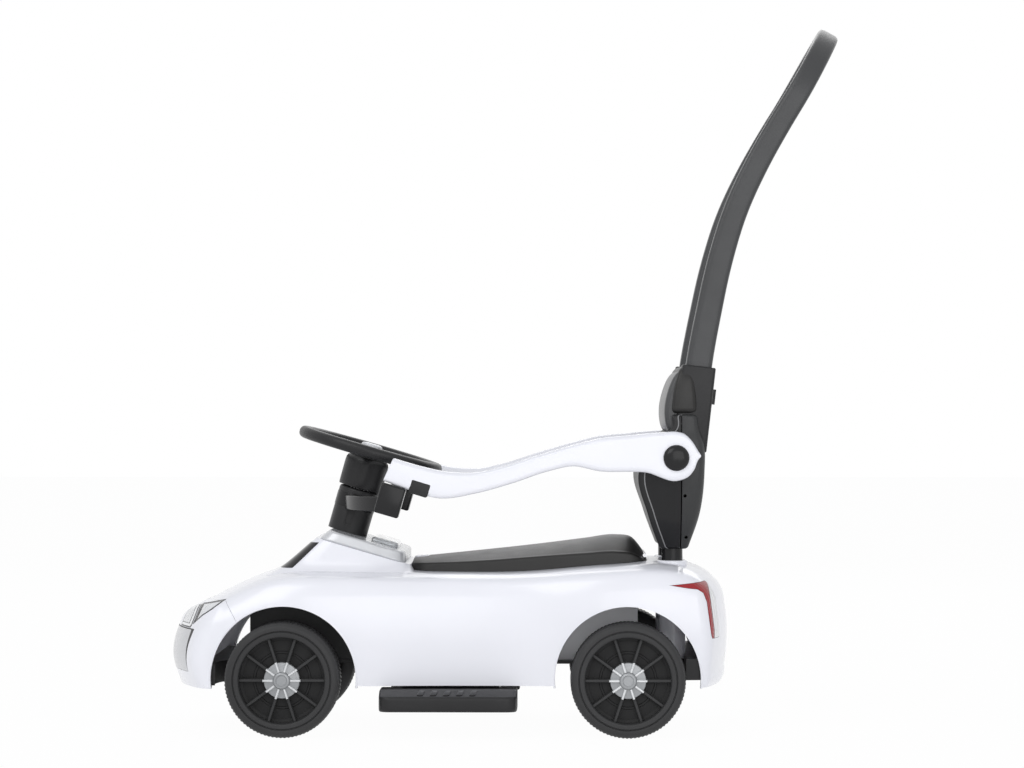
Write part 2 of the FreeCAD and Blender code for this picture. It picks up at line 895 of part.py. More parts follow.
def steering_crank():
    """The crank at the foot of the shaft, with the ball that moves the tie rod."""
    hub = column_rod("crank_hub", size.crank_hub_radius, *crank_span)
    arm = box("crank_arm", (NO_LENGTH, size.steering_arm), around(size.crank_half_width), crank_span, column)
    end = upright("crank_end", size.crank_half_width, size.steering_arm, NO_LENGTH, crank_span, column)
    neck = upright(
        "ball_neck", size.ball_neck_radius, size.steering_arm, NO_LENGTH, (ball_level, crank_level), column
    )
    ball = doc.addObject("Part::Sphere", "crank_ball")
    ball.setExpression("Radius", text_of(size.ball_radius))
    place(ball, size.steering_arm, NO_LENGTH, ball_level, column)
    bore = column_rod("crank_bore", shaft_bore, *crank_span)
    return cut("crank", fuse("crank_parts", hub, arm, end, neck, ball), bore)


piece("steering_crank", steering_crank())
piece("steering_shaft", column_rod("shaft", size.shaft_radius, crank_span[0], size.hub_skirt_top))


# Front axle: beam, kingpins, knuckles and tie rod.
link_x = front_axle_x + size.steering_arm
link_span = (size.link_bottom, size.link_bottom + size.link_thickness)
knuckle_bottom = size.beam_bottom + size.lug_thickness + 2 * size.part_gap
knuckle_top = size.floor_bottom - 2 * size.part_gap
kingpin_bore = size.kingpin_radius + size.running_gap
lug_outer = size.kingpin_y + size.lug_end
lug_inner = size.floor_front_half_width + size.shell_wall
lug_top = size.floor_bottom + size.lug_thickness


def front_axle_beam():
    """A beam across the car with a forked end for each kingpin."""
    depth = (front_axle_x - size.beam_half_depth, front_axle_x + size.beam_half_depth)
    middle = box("beam_middle", depth, around(size.beam_half_span), (size.beam_bottom, size.floor_bottom))
    low = box("beam_lugs", depth, around(lug_outer), (size.beam_bottom, size.beam_bottom + size.lug_thickness))
    left = box("top_lug", depth, both(lug_inner, lug_outer), (size.floor_bottom, lug_top))
    solid = fuse("beam_parts", middle, low, left, mirror("top_lug_right", left))
    bores = [
        upright(
            f"kingpin_bore_{side}",
            kingpin_bore,
            front_axle_x,
            side * size.kingpin_y,
            (size.beam_bottom, lug_top),
        )
        for side in (-1, 1)
    ]
    return cut("beam", solid, *bores)


def kingpin():
    """A left kingpin with its head."""
    head_top = lug_top + size.screw_head_height
    pin = upright("kingpin_rod", size.kingpin_radius, front_axle_x, -size.kingpin_y, (size.beam_bottom, head_top))
    head = upright(
        "kingpin_head", size.knuckle_sleeve_radius, front_axle_x, -size.kingpin_y, (lug_top, head_top)
    )
    return fuse("kingpin_left", pin, head)


def knuckle():
    """A left knuckle: a sleeve on the kingpin, a stub axle and a steering arm with its pin."""
    span = (knuckle_bottom, knuckle_bottom + size.arm_thickness)
    y = -size.kingpin_y
    sleeve = upright("knuckle_sleeve", size.knuckle_sleeve_radius, front_axle_x, y, (knuckle_bottom, knuckle_top))
    stub = crosswise("stub_axle", size.axle_radius, front_axle_x, both(size.kingpin_y, axle_end_y), axle_height)
    sides = (y - size.arm_half_width, y + size.arm_half_width)
    arm = box("knuckle_arm", (front_axle_x, link_x), sides, span)
    end = upright("arm_end", size.arm_half_width, link_x, y, span)
    pin = upright("link_pin", size.link_pin_radius, link_x, y, (size.link_bottom, knuckle_bottom))
    bore = upright("knuckle_bore", kingpin_bore, front_axle_x, y, (knuckle_bottom, knuckle_top))
    return cut("left_knuckle", fuse("knuckle_parts", sleeve, stub, arm, end, pin), bore)


def tie_rod():
    """The bar between the two steering arms, with a lug for the crank's ball."""
    width = (link_x - size.link_half_width, link_x + size.link_half_width)
    bar = box("link_bar", width, around(size.kingpin_y), link_span)
    eye_radius = size.link_pin_radius + size.link_half_width
    ball_hole_radius = size.ball_radius + size.ball_play
    lug_radius = ball_hole_radius + size.link_half_width
    lug = box("link_lug", (link_x, ball_x), around(lug_radius), link_span)
    lug_end = upright("link_lug_end", lug_radius, ball_x, NO_LENGTH, link_span)
    eyes = []
    holes = [upright("ball_hole", ball_hole_radius, ball_x, NO_LENGTH, link_span)]
    for side in (-1, 1):
        y = side * size.kingpin_y
        eyes.append(upright(f"link_eye_{side}", eye_radius, link_x, y, link_span))
        holes.append(upright(f"link_hole_{side}", size.link_pin_radius + size.running_gap, link_x, y, link_span))
    return cut("link", fuse("link_parts", bar, lug, lug_end, *eyes), *holes)


piece("front_axle_beam", front_axle_beam())
left_kingpin = kingpin()
piece("kingpins", fuse("kingpin_pair", left_kingpin, mirror("kingpin_right", left_kingpin)))
pair("knuckle", knuckle())
piece("tie_rod", tie_rod())


# Wheels, hub caps and the nuts that keep them on.
SPOKES = 10
FULL_TURN = 360


def wheel(end, axle_x):
    """A left wheel, hollow behind, with a dished and spoked face."""
    outer = size.wheel_outer_y
    tyre = crosswise(f"{end}_tyre", size.wheel_radius, axle_x, both(wheel_inner_y, outer), axle_height)
    hollow = crosswise(
        f"{end}_back", size.back_hollow_radius, axle_x, both(wheel_inner_y, disc_inner_y), axle_height
    )
    dish = crosswise_cone(
        f"{end}_dish",
        size.rim_opening_radius,
        size.dish_floor_radius,
        axle_x,
        both(disc_outer_y, outer),
        axle_height,
    )
    boss = crosswise(f"{end}_boss", size.wheel_boss_radius, axle_x, both(boss_end_y, disc_inner_y), axle_height)
    bore = crosswise(f"{end}_bore", axle_bore, axle_x, both(boss_end_y, disc_outer_y), axle_height)
    spokes = []
    for index in range(SPOKES):
        radial = Frame(axle_x, axle_height, Size(index * FULL_TURN / SPOKES, str(index * FULL_TURN / SPOKES)))
        spokes.append(
            box(
                f"{end}_spoke_{index}",
                around(size.spoke_width / 2),
                both(disc_outer_y, disc_outer_y + size.spoke_height),
                (size.hub_cap_radius + size.part_gap, size.rim_opening_radius),
                radial,
            )
        )
    blank = cut(f"{end}_blank", tyre, hollow, dish)
    return cut(f"{end}_wheel", fuse(f"{end}_wheel_parts", blank, boss, *spokes), bore)


def hub_cap(end, axle_x):
    """A left hub cap, hollow over the axle's end."""
    cap_outer = disc_outer_y + size.hub_cap_height
    disc = crosswise(f"{end}_cap_disc", size.hub_cap_radius, axle_x, both(disc_outer_y, cap_outer), axle_height)
    boss = crosswise(
        f"{end}_cap_boss",
        size.hub_boss_radius,
        axle_x,
        both(cap_outer, cap_outer + size.hub_boss_height),
        axle_height,
    )
    hollow = crosswise(
        f"{end}_cap_hollow",
        size.push_nut_radius + size.hub_cap_wall,
        axle_x,
        both(disc_outer_y, cap_outer - size.hub_cap_wall),
        axle_height,
    )
    return cut(f"{end}_cap", fuse(f"{end}_cap_parts", disc, boss), hollow)


def push_nut(end, axle_x):
    """A left spring nut on the axle's end."""
    start = disc_outer_y + size.part_gap
    span = both(start, start + size.push_nut_thickness)
    ring = crosswise(f"{end}_nut_ring", size.push_nut_radius, axle_x, span, axle_height)
    return cut(f"{end}_nut", ring, crosswise(f"{end}_nut_hole", axle_bore, axle_x, span, axle_height))


for end, axle_x in (("front", front_axle_x), ("rear", size.rear_axle_x)):
    pair(f"{end}_wheel", wheel(end, axle_x))
    pair(f"{end}_hub_cap", hub_cap(end, axle_x))
pair("front_push_nut", push_nut("front", front_axle_x))
rear_nut = push_nut("rear", size.rear_axle_x)
piece("rear_push_nuts", fuse("rear_nuts", rear_nut, mirror("rear_nut_right", rear_nut)))
piece("rear_axle", crosswise("axle", size.axle_radius, size.rear_axle_x, around(axle_end_y), axle_height))
carrier_end_y = size.kingpin_y + size.knuckle_sleeve_radius + 2 * size.part_gap
piece(
    "rear_axle_carrier",
    cut(
        "carrier",
        fuse(
            "carrier_parts",
            box(
                "carrier_block",
                (size.rear_axle_x - size.carrier_half_depth, size.rear_axle_x + size.carrier_half_depth),
                around(size.carrier_half_span),
                (size.carrier_bottom, size.floor_bottom),
            ),
            crosswise(
                "carrier_tube", size.knuckle_sleeve_radius, size.rear_axle_x, around(carrier_end_y), axle_height
            ),
        ),
        crosswise("carrier_bore", axle_bore, size.rear_axle_x, around(carrier_end_y), axle_height),
    ),
)


# Chassis floor and what stands on it or hangs below it.
floor_front_x = size.front_brace_x + size.brace_half_depth
floor_rear_x = size.rear_brace_x - size.brace_half_depth
floor_span = (size.floor_bottom, floor_top)
shaft_at_floor = column.point(NO_LENGTH, (size.floor_bottom - size.steering_height) / column.cosine)[0]
floor_screw_places = [(f"boss_{index}", x, y, size.screw_grip) for index, (x, y) in enumerate(boss_places)]
post_screw_places = [(f"post_{index}", x, y, size.post_screw_grip) for index, (x, y) in enumerate(post_places)]


# The shaft's hole in the floor, as a share of the crank's hub.
SHAFT_HOLE_SHARE = 1.2


def chassis_floor():
    """A flat floor, wide between the wheels and narrow beside them."""
    parts = [
        box(f"floor_{name}", x, around(half), floor_span)
        for name, x, half in (
            ("front", (floor_front_x, size.floor_middle_front), size.floor_front_half_width),
            ("middle", (size.floor_middle_front, size.floor_middle_rear), size.floor_middle_half_width),
            ("rear", (size.floor_middle_rear, floor_rear_x), size.floor_rear_half_width),
        )
    ]
    holes = [
        upright(f"floor_hole_{name}", screw_bore, x, y, floor_span)
        for name, x, y, grip in floor_screw_places + post_screw_places
    ]
    shaft_hole_radius = size.crank_hub_radius * SHAFT_HOLE_SHARE
    holes.append(upright("floor_shaft_hole", shaft_hole_radius, shaft_at_floor, NO_LENGTH, floor_span))
    return cut("floor", fuse("floor_parts", *parts), *holes)


def screws(name, places):
    """Screws driven up through the floor, as one group."""
    rods = []
    for place_name, x, y, grip in places:
        head_span = (size.floor_bottom - size.screw_head_height, size.floor_bottom)
        head = upright(f"{place_name}_head", size.screw_head_radius, x, y, head_span)
        shank = upright(f"{place_name}_shank", size.screw_radius, x, y, (head_span[0], floor_top + grip))
        rods.append(fuse(f"{place_name}_screw", head, shank))
    return fuse(name, *rods)


def open_box(name, x, y, z, wall, opens_up):
    """A box of even wall that is open above or below."""
    rise = NO_LENGTH if opens_up else wall
    sink = wall if opens_up else NO_LENGTH
    inside = box(
        f"{name}_inside",
        (x[0] + wall, x[1] - wall),
        (y[0] + wall, y[1] - wall),
        (z[0] + sink, z[1] - rise),
    )
    return cut(name, box(f"{name}_outside", x, y, z), inside)


def brace(name, x, bottom):
    """A cross brace that ends just inside the body."""
    bar = box(
        f"{name}_bar",
        (x - size.brace_half_depth, x + size.brace_half_depth),
        around(size.body_half_width),
        (bottom, bottom + size.brace_height),
    )
    return common(name, bar, brace_space)


brace_space = feature("brace_space", hull(size.shell_wall + size.seam_gap, size.overrun))
piece("chassis_floor", chassis_floor())
piece("floor_screws", screws("floor_screw_group", floor_screw_places))
piece("backrest_screws", screws("post_screw_group", post_screw_places))
piece(
    "storage_bin",
    open_box(
        "bin",
        (size.bin_front, size.bin_rear),
        around(size.bin_half_width),
        (floor_top, size.bin_top),
        size.bin_wall,
        True,
    ),
)
tower = open_box(
    "tower",
    (size.tower_front, size.tower_rear),
    around(size.tower_half_width),
    (floor_top, size.tower_top),
    size.tower_wall,
    False,
)
tower_bore = column_rod("tower_bore", size.shaft_radius + 2 * size.part_gap, crank_level, size.dash_top)
piece("steering_tower", cut("bored_tower", tower, tower_bore))
front_brace = brace("brace_front", size.front_brace_x, size.front_brace_bottom)
swing_radius = diagonal(size.wheel_radius, size.wheel_outer_y - size.kingpin_y) + 2 * size.part_gap
swing_spaces = [
    upright(f"wheel_swing_{side}", swing_radius, front_axle_x, side * size.kingpin_y, (NO_LENGTH, size.deck_height))
    for side in (-1, 1)
]
piece("front_brace", cut("relieved_brace", front_brace, *swing_spaces))
piece("rear_brace", brace("brace_rear", size.rear_brace_x, size.rear_brace_bottom))


# Seat lid.
# Stations along the seat: place, half width and height above its base, as shares of the seat's own sizes.
SEAT_SHARES = (
    (0.00, 0.80, 0.36),
    (0.09, 0.93, 0.47),
    (0.40, 1.00, 0.68),
    (0.66, 1.00, 0.83),
    (0.88, 0.96, 1.00),
    (0.96, 0.88, 0.86),
    (1.00, 0.78, 0.60),
)
SEAT_EDGE_SHARE = 0.72
seat_front = size.cowl_rear + size.lid_front_gap


def seat_section(station):
    """The seat's outline across one station: a flat base, a lip and a crowned top."""
    along, wide, up = station
    x = float(seat_front + (size.seat_rear - seat_front) * along)
    half = float(size.seat_half_width * wide)
    base = float(size.seat_base_height)
    rise = float((size.seat_peak_height - size.seat_base_height) * up)
    edge = base + rise * SEAT_EDGE_SHARE
    corners = [
        FreeCAD.Vector(x, -half, edge),
        FreeCAD.Vector(x, -half, base),
        FreeCAD.Vector(x, half, base),
        FreeCAD.Vector(x, half, edge),
    ]
    return Part.Wire(polyline(corners) + [arc(corners[3], FreeCAD.Vector(x, 0, base + rise), corners[0])])


def seat_lid():
    """The seat, shaped to the deck below it, with a hinge barrel at its rear."""
    seat = feature("seat_blank", Part.makeLoft([seat_section(station) for station in SEAT_SHARES], True, False))
    barrel = crosswise(
        "hinge_barrel", size.hinge_barrel_radius, size.hinge_x, around(size.hinge_half_length), size.hinge_height
    )
    relief_span = (size.hinge_half_length, ear_inner + size.hinge_ear_width + 2 * size.part_gap)
    relief = box(
        "ear_relief",
        (size.hinge_x - size.hinge_relief, size.hinge_x + size.hinge_relief),
        both(*relief_span),
        (size.seat_base_height, size.seat_peak_height),
    )
    doc.recompute()
    deck = feature("raised_deck", filled_body.Shape.translated(vector(NO_LENGTH, NO_LENGTH, size.lid_gap)))
    barrel_bore = crosswise(
        "barrel_bore", hinge_bore, size.hinge_x, around(size.hinge_half_length), size.hinge_height
    )
    solid = fuse("seat_parts", seat, barrel)
    return cut("seat", solid, deck, relief, mirror("ear_relief_right", relief), barrel_bore)


piece("seat_lid", seat_lid())


# Backrest and handle sleeves.
# Levels of the backrest: height, then front, rear and side drawn in, as shares of its height, depth and width.
BACKREST_SHARES = (
    (0.000, 0.333, 0.241, 0.67),
    (0.268, 0.138, 0.069, 0.905),
    (0.575, 0.000, 0.000, 0.992),
    (0.799, 0.230, 0.011, 0.992),
    (0.883, 0.437, 0.057, 0.97),
    (1.000, 0.529, 0.103, 0.96),
)
CAP_SHARES = ((0.00, 0.410, 0.103, 0.96), (0.50, 0.379, 0.184, 0.95), (1.00, 0.440, 0.287, 0.86))


def backrest_loft(shares, bottom, top, inset):
    """A stack of rounded levels between two heights, moved in by a wall."""
    depth = size.backrest_rear_x - size.backrest_front_x
    outlines = []
    for up, front, rear, wide in shares:
        x = (
            float(size.backrest_front_x + depth * front + inset),
            float(size.backrest_rear_x - depth * rear - inset),
        )
        half = float(size.backrest_half_width * wide - inset)
        height = float(bottom + inset + (top - bottom - 2 * inset) * up)
        radius = float(size.backrest_corner_radius - inset)
        outlines.append(rounded_outline(x, (-half, half), height, radius))
    return Part.makeLoft(outlines, True, False)


def sleeve_box(name, grow, bottom, top):
    """The left sleeve's outside, grown all round, between two levels along the leg."""
    half_depth = sleeve_depth / 2 + grow
    half_width = sleeve_width / 2 + grow
    y = both(size.handle_leg_y - half_width, size.handle_leg_y + half_width)
    return box(name, around(half_depth), y, (bottom, top), lean)


sleeve_place = sleeve_box("sleeve_place", size.seam_gap, -size.sleeve_length - size.seam_gap, size.overrun)
sleeve_places = [sleeve_place, mirror("sleeve_place_right", sleeve_place)]
post_bores = [
    upright(
        f"post_bore_{index}",
        size.post_radius + size.seam_gap,
        x,
        y,
        (floor_top, size.post_top + size.seam_gap),
    )
    for index, (x, y) in enumerate(post_places)
]
knob_bore = crosswise(
    "knob_bore",
    size.guard_pin_radius + size.running_gap,
    size.guard_pivot_x,
    around(guard_outer_y),
    size.guard_pivot_height,
)


def backrest_half(name, x):
    """The part of the hollow backrest between two depths."""
    outside = feature(
        f"{name}_outside",
        backrest_loft(BACKREST_SHARES, size.backrest_bottom, size.backrest_top, NO_LENGTH),
    )
    inside = feature(
        f"{name}_inside",
        backrest_loft(BACKREST_SHARES, size.backrest_bottom, size.backrest_top, size.backrest_wall),
    )
    half = box(f"{name}_half", x, around(size.body_half_width), (size.backrest_bottom, size.backrest_top))
    return cut(name, common(f"{name}_blank", outside, half), inside, *sleeve_places, *post_bores, knob_bore)


split = size.backrest_split_x
piece("backrest_front", backrest_half("front_shell", (size.backrest_front_x - size.overrun, split)))
piece("backrest_rear", backrest_half("rear_shell", (split, size.backrest_rear_x + size.overrun)))
cap_blank = feature("cap_blank", backrest_loft(CAP_SHARES, size.backrest_top, size.pad_top, NO_LENGTH))
piece("headrest_cap", cut("cap", cap_blank, *sleeve_places))


def post(index, x, y):
    """A post of the backrest, bored for its screw."""
    rod = upright(f"post_rod_{index}", size.post_radius, x, y, (floor_top, size.post_top))
    bore = upright(f"post_screw_bore_{index}", screw_bore, x, y, (floor_top, floor_top + size.post_screw_grip))
    return cut(f"post_{index}", rod, bore)


piece("backrest_posts", fuse("posts", *[post(index, x, y) for index, (x, y) in enumerate(post_places)]))

half_leg_depth = size.handle_depth / 2
half_leg_width = size.handle_width / 2
button_span = (
    -size.handle_button_drop - size.handle_button_height / 2,
    -size.handle_button_drop + size.handle_button_height / 2,
)
sleeve_floor = -size.sleeve_length + size.sleeve_wall


def leg_sides(half):
    """The Y span of something centred on the left leg."""
    return both(size.handle_leg_y - half, size.handle_leg_y + half)


def handle_sleeve():
    """The left socket for a leg of the handle, with a window for its button."""
    outside = sleeve_box("sleeve_outside", NO_LENGTH, -size.sleeve_length, NO_LENGTH)
    bore = box(
        "sleeve_bore",
        around(half_leg_depth + size.part_gap),
        leg_sides(half_leg_width + size.part_gap),
        (sleeve_floor, NO_LENGTH),
        lean,
    )
    window = box(
        "button_window",
        (NO_LENGTH, sleeve_depth),
        leg_sides(size.handle_button_width / 2 + size.part_gap),
        (button_span[0] - size.part_gap, button_span[1] + size.part_gap),
        lean,
    )
    return cut("left_sleeve", outside, bore, window)


def handle_button():
    """The left release button: a key in the window and a flange behind it."""
    flange_outer = half_leg_depth
    flange = size.handle_button_flange
    key = box(
        "button_key",
        (flange_outer - 2 * flange, sleeve_depth / 2 + size.handle_button_proud),
        leg_sides(size.handle_button_width / 2),
        button_span,
        lean,
    )
    plate = box(
        "button_flange",
        (flange_outer - flange, flange_outer),
        leg_sides(size.handle_button_width / 2 + flange),
        (button_span[0] - flange, button_span[1] + flange),
        lean,
    )
    return fuse("left_button", key, plate)


left_sleeve = handle_sleeve()
piece("handle_sleeves", fuse("sleeves", left_sleeve, mirror("sleeve_right", left_sleeve)))
pair("handle_button", handle_button())


# Push handle: two straight legs, then a band that leans back and closes in a half round.
# Points of its middle line from the sleeves to the top, as shares of its reach and of its rise.
HANDLE_SHARES = (
    (0.000, 0.000),
    (0.077, 0.168),
    (0.149, 0.299),
    (0.275, 0.462),
    (0.435, 0.600),
    (0.579, 0.703),
    (0.734, 0.806),
    (1.000, 1.000),
)
handle_top = Frame(size.handle_top_x, size.handle_top_height, size.handle_top_lean_angle)


def handle_band():
    """The handle seen from the side, as a band across the car."""
    reach = size.handle_top_x - size.sleeve_x
    rise = size.handle_top_height - size.sleeve_top_height
    middle = [
        vector(size.sleeve_x + reach * x, NO_LENGTH, size.sleeve_top_height + rise * z)
        for x, z in HANDLE_SHARES
    ]
    past_top = handle_top.point(NO_LENGTH, size.handle_width)
    middle.append(vector(past_top[0], NO_LENGTH, past_top[1]))
    slopes = [lean.rotation().multVec(FreeCAD.Vector(0, 0, 1))]
    slopes += [(after - before).normalize() for before, after in zip(middle, middle[2:])]
    slopes.append(handle_top.rotation().multVec(FreeCAD.Vector(0, 0, 1)))
    front = []
    rear = []
    for index, (point, slope) in enumerate(zip(middle, slopes)):
        share = index / (len(middle) - 1)
        half = float(size.handle_depth * (1 - share) + size.handle_top_depth * share) / 2
        outward = FreeCAD.Vector(slope.z, 0, -slope.x) * half
        front.append(point - outward)
        rear.append(point + outward)
    half_span = float(size.handle_leg_y + size.handle_width)
    edges = [curve(front), Part.makeLine(front[-1], rear[-1]), curve(rear), Part.makeLine(rear[0], front[0])]
    band = prism(edges, FreeCAD.Vector(0, 2 * half_span, 0))
    return band.translated(FreeCAD.Vector(0, -half_span, 0))


def handle_arch():
    """The handle seen along its lean: two legs joined by a half ring."""
    outer = float(size.handle_leg_y + half_leg_width)
    inner = float(size.handle_leg_y - half_leg_width)
    reach = float(size.handle_top_height - size.sleeve_top_height) * 2
    edges = [
        arc(FreeCAD.Vector(0, -outer, -outer), FreeCAD.Vector(0, 0, 0), FreeCAD.Vector(0, outer, -outer)),
        Part.makeLine(FreeCAD.Vector(0, outer, -outer), FreeCAD.Vector(0, outer, -reach)),
        Part.makeLine(FreeCAD.Vector(0, outer, -reach), FreeCAD.Vector(0, inner, -reach)),
        Part.makeLine(FreeCAD.Vector(0, inner, -reach), FreeCAD.Vector(0, inner, -outer)),
        arc(
            FreeCAD.Vector(0, inner, -outer),
            FreeCAD.Vector(0, 0, inner - outer),
            FreeCAD.Vector(0, -inner, -outer),
        ),
        Part.makeLine(FreeCAD.Vector(0, -inner, -outer), FreeCAD.Vector(0, -inner, -reach)),
        Part.makeLine(FreeCAD.Vector(0, -inner, -reach), FreeCAD.Vector(0, -outer, -reach)),
        Part.makeLine(FreeCAD.Vector(0, -outer, -reach), FreeCAD.Vector(0, -outer, -outer)),
    ]
    arch = prism(edges, FreeCAD.Vector(2 * reach, 0, 0)).translated(FreeCAD.Vector(-reach, 0, 0))
    arch.Placement = FreeCAD.Placement(
        vector(handle_top.x, NO_LENGTH, handle_top.z), handle_top.rotation()
    ).multiply(arch.Placement)
    return arch


def push_handle():
    """The whole handle, with a keyway up the back of each leg for the buttons."""
    bow = common("handle_bow", feature("handle_band", handle_band()), feature("handle_arch", handle_arch()))
    leg_bottom = sleeve_floor + size.part_gap
    leg = box(
        "handle_leg",
        around(half_leg_depth),
        leg_sides(half_leg_width),
        (leg_bottom, NO_LENGTH),
        lean,
    )
    keyway = box(
        "handle_keyway",
        (half_leg_depth - size.keyway_depth, sleeve_depth),
        leg_sides(size.keyway_width / 2),
        (leg_bottom, button_span[1] + 2 * size.handle_button_flange),
        lean,
    )
    legs = fuse("handle_parts", bow, leg, mirror("handle_leg_right", leg))
    return cut("handle", legs, keyway, mirror("handle_keyway_right", keyway))


piece("push_handle", push_handle())


# Guard arms, their bracket on the column and the knobs that they turn on.
# Points of an arm's two edges from its front to its pivot, as shares of its length.
ARM_TOP_SHARES = (
    (-0.962, -0.001),
    (-0.873, -0.027),
    (-0.770, -0.048),
    (-0.681, -0.049),
    (-0.599, -0.032),
    (-0.476, 0.007),
    (-0.353, 0.043),
    (-0.258, 0.0668),
    (-0.150, 0.0780),
    (-0.050, 0.0870),
    (0.006, 0.0885),
    (0.027, 0.0825),
    (0.0445, 0.0684),
    (0.0585, 0.0512),
    (0.069, 0.0338),
    (0.0793, 0.0164),
    (0.0856, 0.006),
)
ARM_BOTTOM_SHARES = (
    (0.0856, 0.006),
    (0.0765, -0.0040),
    (0.0695, -0.0190),
    (0.0637, -0.0359),
    (0.0549, -0.0497),
    (0.0445, -0.0619),
    (0.0307, -0.0705),
    (0.0133, -0.0765),
    (-0.0075, -0.0793),
    (-0.0286, -0.0757),
    (-0.0494, -0.0682),
    (-0.0702, -0.0601),
    (-0.0877, -0.0533),
    (-0.1050, -0.0497),
    (-0.130, -0.0481),
    (-0.257, -0.0460),
    (-0.353, -0.029),
    (-0.435, -0.046),
    (-0.558, -0.087),
    (-0.681, -0.121),
    (-0.805, -0.138),
    (-0.917, -0.107),
    (-0.997, -0.078),
)
block_frame = Frame(size.block_x, size.block_height, size.steering_tilt_angle)


def guard_block(name, grow):
    """The left rest at the bracket's end, grown all round."""
    return box(
        name,
        around(size.block_length / 2 + grow),
        both(size.block_y - size.block_width / 2 - grow, size.block_y + size.block_width / 2 + grow),
        around(size.block_drop / 2 + grow),
        block_frame,
    )


def guard_arm():
    """The left arm: a waved bar that ends behind its knob in a point."""

    def edge(shares):
        return [
            vector(
                size.guard_pivot_x + size.guard_length * x,
                -guard_outer_y,
                size.guard_pivot_height + size.guard_length * z,
            )
            for x, z in shares
        ]

    top = edge(ARM_TOP_SHARES)
    bottom = edge(ARM_BOTTOM_SHARES)
    edges = [curve(top), curve(bottom), Part.makeLine(bottom[-1], top[0])]
    bar = feature("arm_bar", prism(edges, FreeCAD.Vector(0, float(size.guard_thickness), 0)))
    return cut("left_arm", bar, guard_block("arm_rest", 2 * size.part_gap), knob_bore)


# The knob's rim, as a share of its height, and its crown, as a share of its radius.
KNOB_RIM_SHARE = 0.4
KNOB_CROWN_SHARE = 0.62


def pivot_knob():
    """The left knob: a crowned head and the pin that carries the arm."""
    head_inner = guard_outer_y + size.part_gap
    pin_inner = size.guard_inner_y - size.knob_height
    x = size.guard_pivot_x
    z = size.guard_pivot_height
    rim_outer = head_inner + size.knob_height * KNOB_RIM_SHARE
    crown_radius = size.knob_radius * KNOB_CROWN_SHARE
    crown_span = both(rim_outer, head_inner + size.knob_height)
    rim = crosswise("knob_rim", size.knob_radius, x, both(head_inner, rim_outer), z)
    crown = crosswise_cone("knob_crown", crown_radius, size.knob_radius, x, crown_span, z)
    pin = crosswise("knob_pin", size.guard_pin_radius, x, both(pin_inner, head_inner), z)
    return fuse("left_knob", rim, crown, pin)


def guard_bracket():
    """A bowed band from a collar on the column to a rest on each side."""
    bow_x = size.bracket_front_x + size.bracket_bow_radius
    span = (size.bracket_height - size.bracket_band / 2, size.bracket_height + size.bracket_band / 2)
    half_wall = size.bracket_wall / 2
    ring = cut(
        "bow_ring",
        upright("bow_outside", size.bracket_bow_radius + half_wall, bow_x, NO_LENGTH, span),
        upright("bow_inside", size.bracket_bow_radius - half_wall, bow_x, NO_LENGTH, span),
        box(
            "bow_trim",
            (size.block_x, bow_x + size.bracket_bow_radius * 2),
            around(size.bracket_bow_radius * 2),
            span,
        ),
    )
    collar_middle = (size.bracket_height - size.steering_height) / column.cosine
    collar = column_rod(
        "bracket_collar",
        size.housing_radius + size.bracket_collar_wall,
        collar_middle - size.bracket_band / 2,
        collar_middle + size.bracket_band / 2,
    )
    block = guard_block("bracket_block", NO_LENGTH)
    solid = fuse("bracket_parts", ring, collar, block, mirror("bracket_block_right", block))
    core = column_rod("bracket_core", size.housing_radius + size.running_gap, size.dash_top, size.housing_top)
    return cut("bracket", solid, core)


pair("guard_arm", guard_arm())
left_knob = pivot_knob()
piece("pivot_knobs", fuse("knobs", left_knob, mirror("knob_right", left_knob)))
piece("guard_bracket", guard_bracket())


# Footrests on rails that slide into a carrier under the floor.
rail_places = [size.footrest_front + size.rail_inset, size.footrest_rear - size.rail_inset]
footrest_top = size.footrest_bottom + size.footrest_height


def footrest():
    """The left footrest: a board with round corners, a raised tread and two rails."""
    outline = rounded_outline(
        (float(size.footrest_front), float(size.footrest_rear)),
        (-float(size.footrest_outer_y), -float(size.footrest_inner_y)),
        float(size.footrest_bottom),
        float(size.footrest_corner_radius),
    )
    board = feature("footrest_board", prism(outline.Edges, FreeCAD.Vector(0, 0, float(size.footrest_height))))
    tread_outer = size.footrest_outer_y - size.tread_inset / 2
    tread = box(
        "footrest_tread",
        (size.footrest_front + size.tread_inset, size.footrest_rear - size.tread_inset),
        both(tread_outer - size.tread_width, tread_outer),
        (footrest_top, footrest_top + size.tread_height),
    )
    rails = [
        crosswise(
            f"rail_{index}", size.rail_radius, x, both(size.rail_end_y, size.footrest_inner_y), size.rail_height
        )
        for index, x in enumerate(rail_places)
    ]
    return fuse("left_footrest", board, tread, *rails)


def footrest_carrier():
    """The block under the floor that both footrests slide in."""
    block = box(
        "footrest_block",
        (size.footrest_front + size.footrest_carrier_inset, size.footrest_rear - size.footrest_carrier_inset),
        around(size.footrest_carrier_half_width),
        (size.rail_height - 2 * size.rail_radius, size.floor_bottom),
    )
    left_bores = [
        crosswise(
            f"rail_bore_{index}",
            size.rail_radius + size.part_gap,
            x,
            both(size.rail_stop_y, size.footrest_carrier_half_width),
            size.rail_height,
        )
        for index, x in enumerate(rail_places)
    ]
    right_bores = [mirror(f"rail_bore_right_{index}", bore) for index, bore in enumerate(left_bores)]
    return cut("footrest_housing", block, *left_bores, *right_bores)


pair("footrest", footrest())
piece("footrest_carrier", footrest_carrier())


def check_document():
    """Stop if any object failed or any piece is not one sound shape."""
    for item in doc.Objects:
        if "Invalid" in item.State or "Error" in item.State:
            raise RuntimeError(f"{item.Name} failed: {item.State}")
    for label, solid in pieces.items():
        if solid.Shape.isNull() or not solid.Shape.isValid() or not solid.Shape.Solids:
            raise RuntimeError(f"{label} has no sound shape")


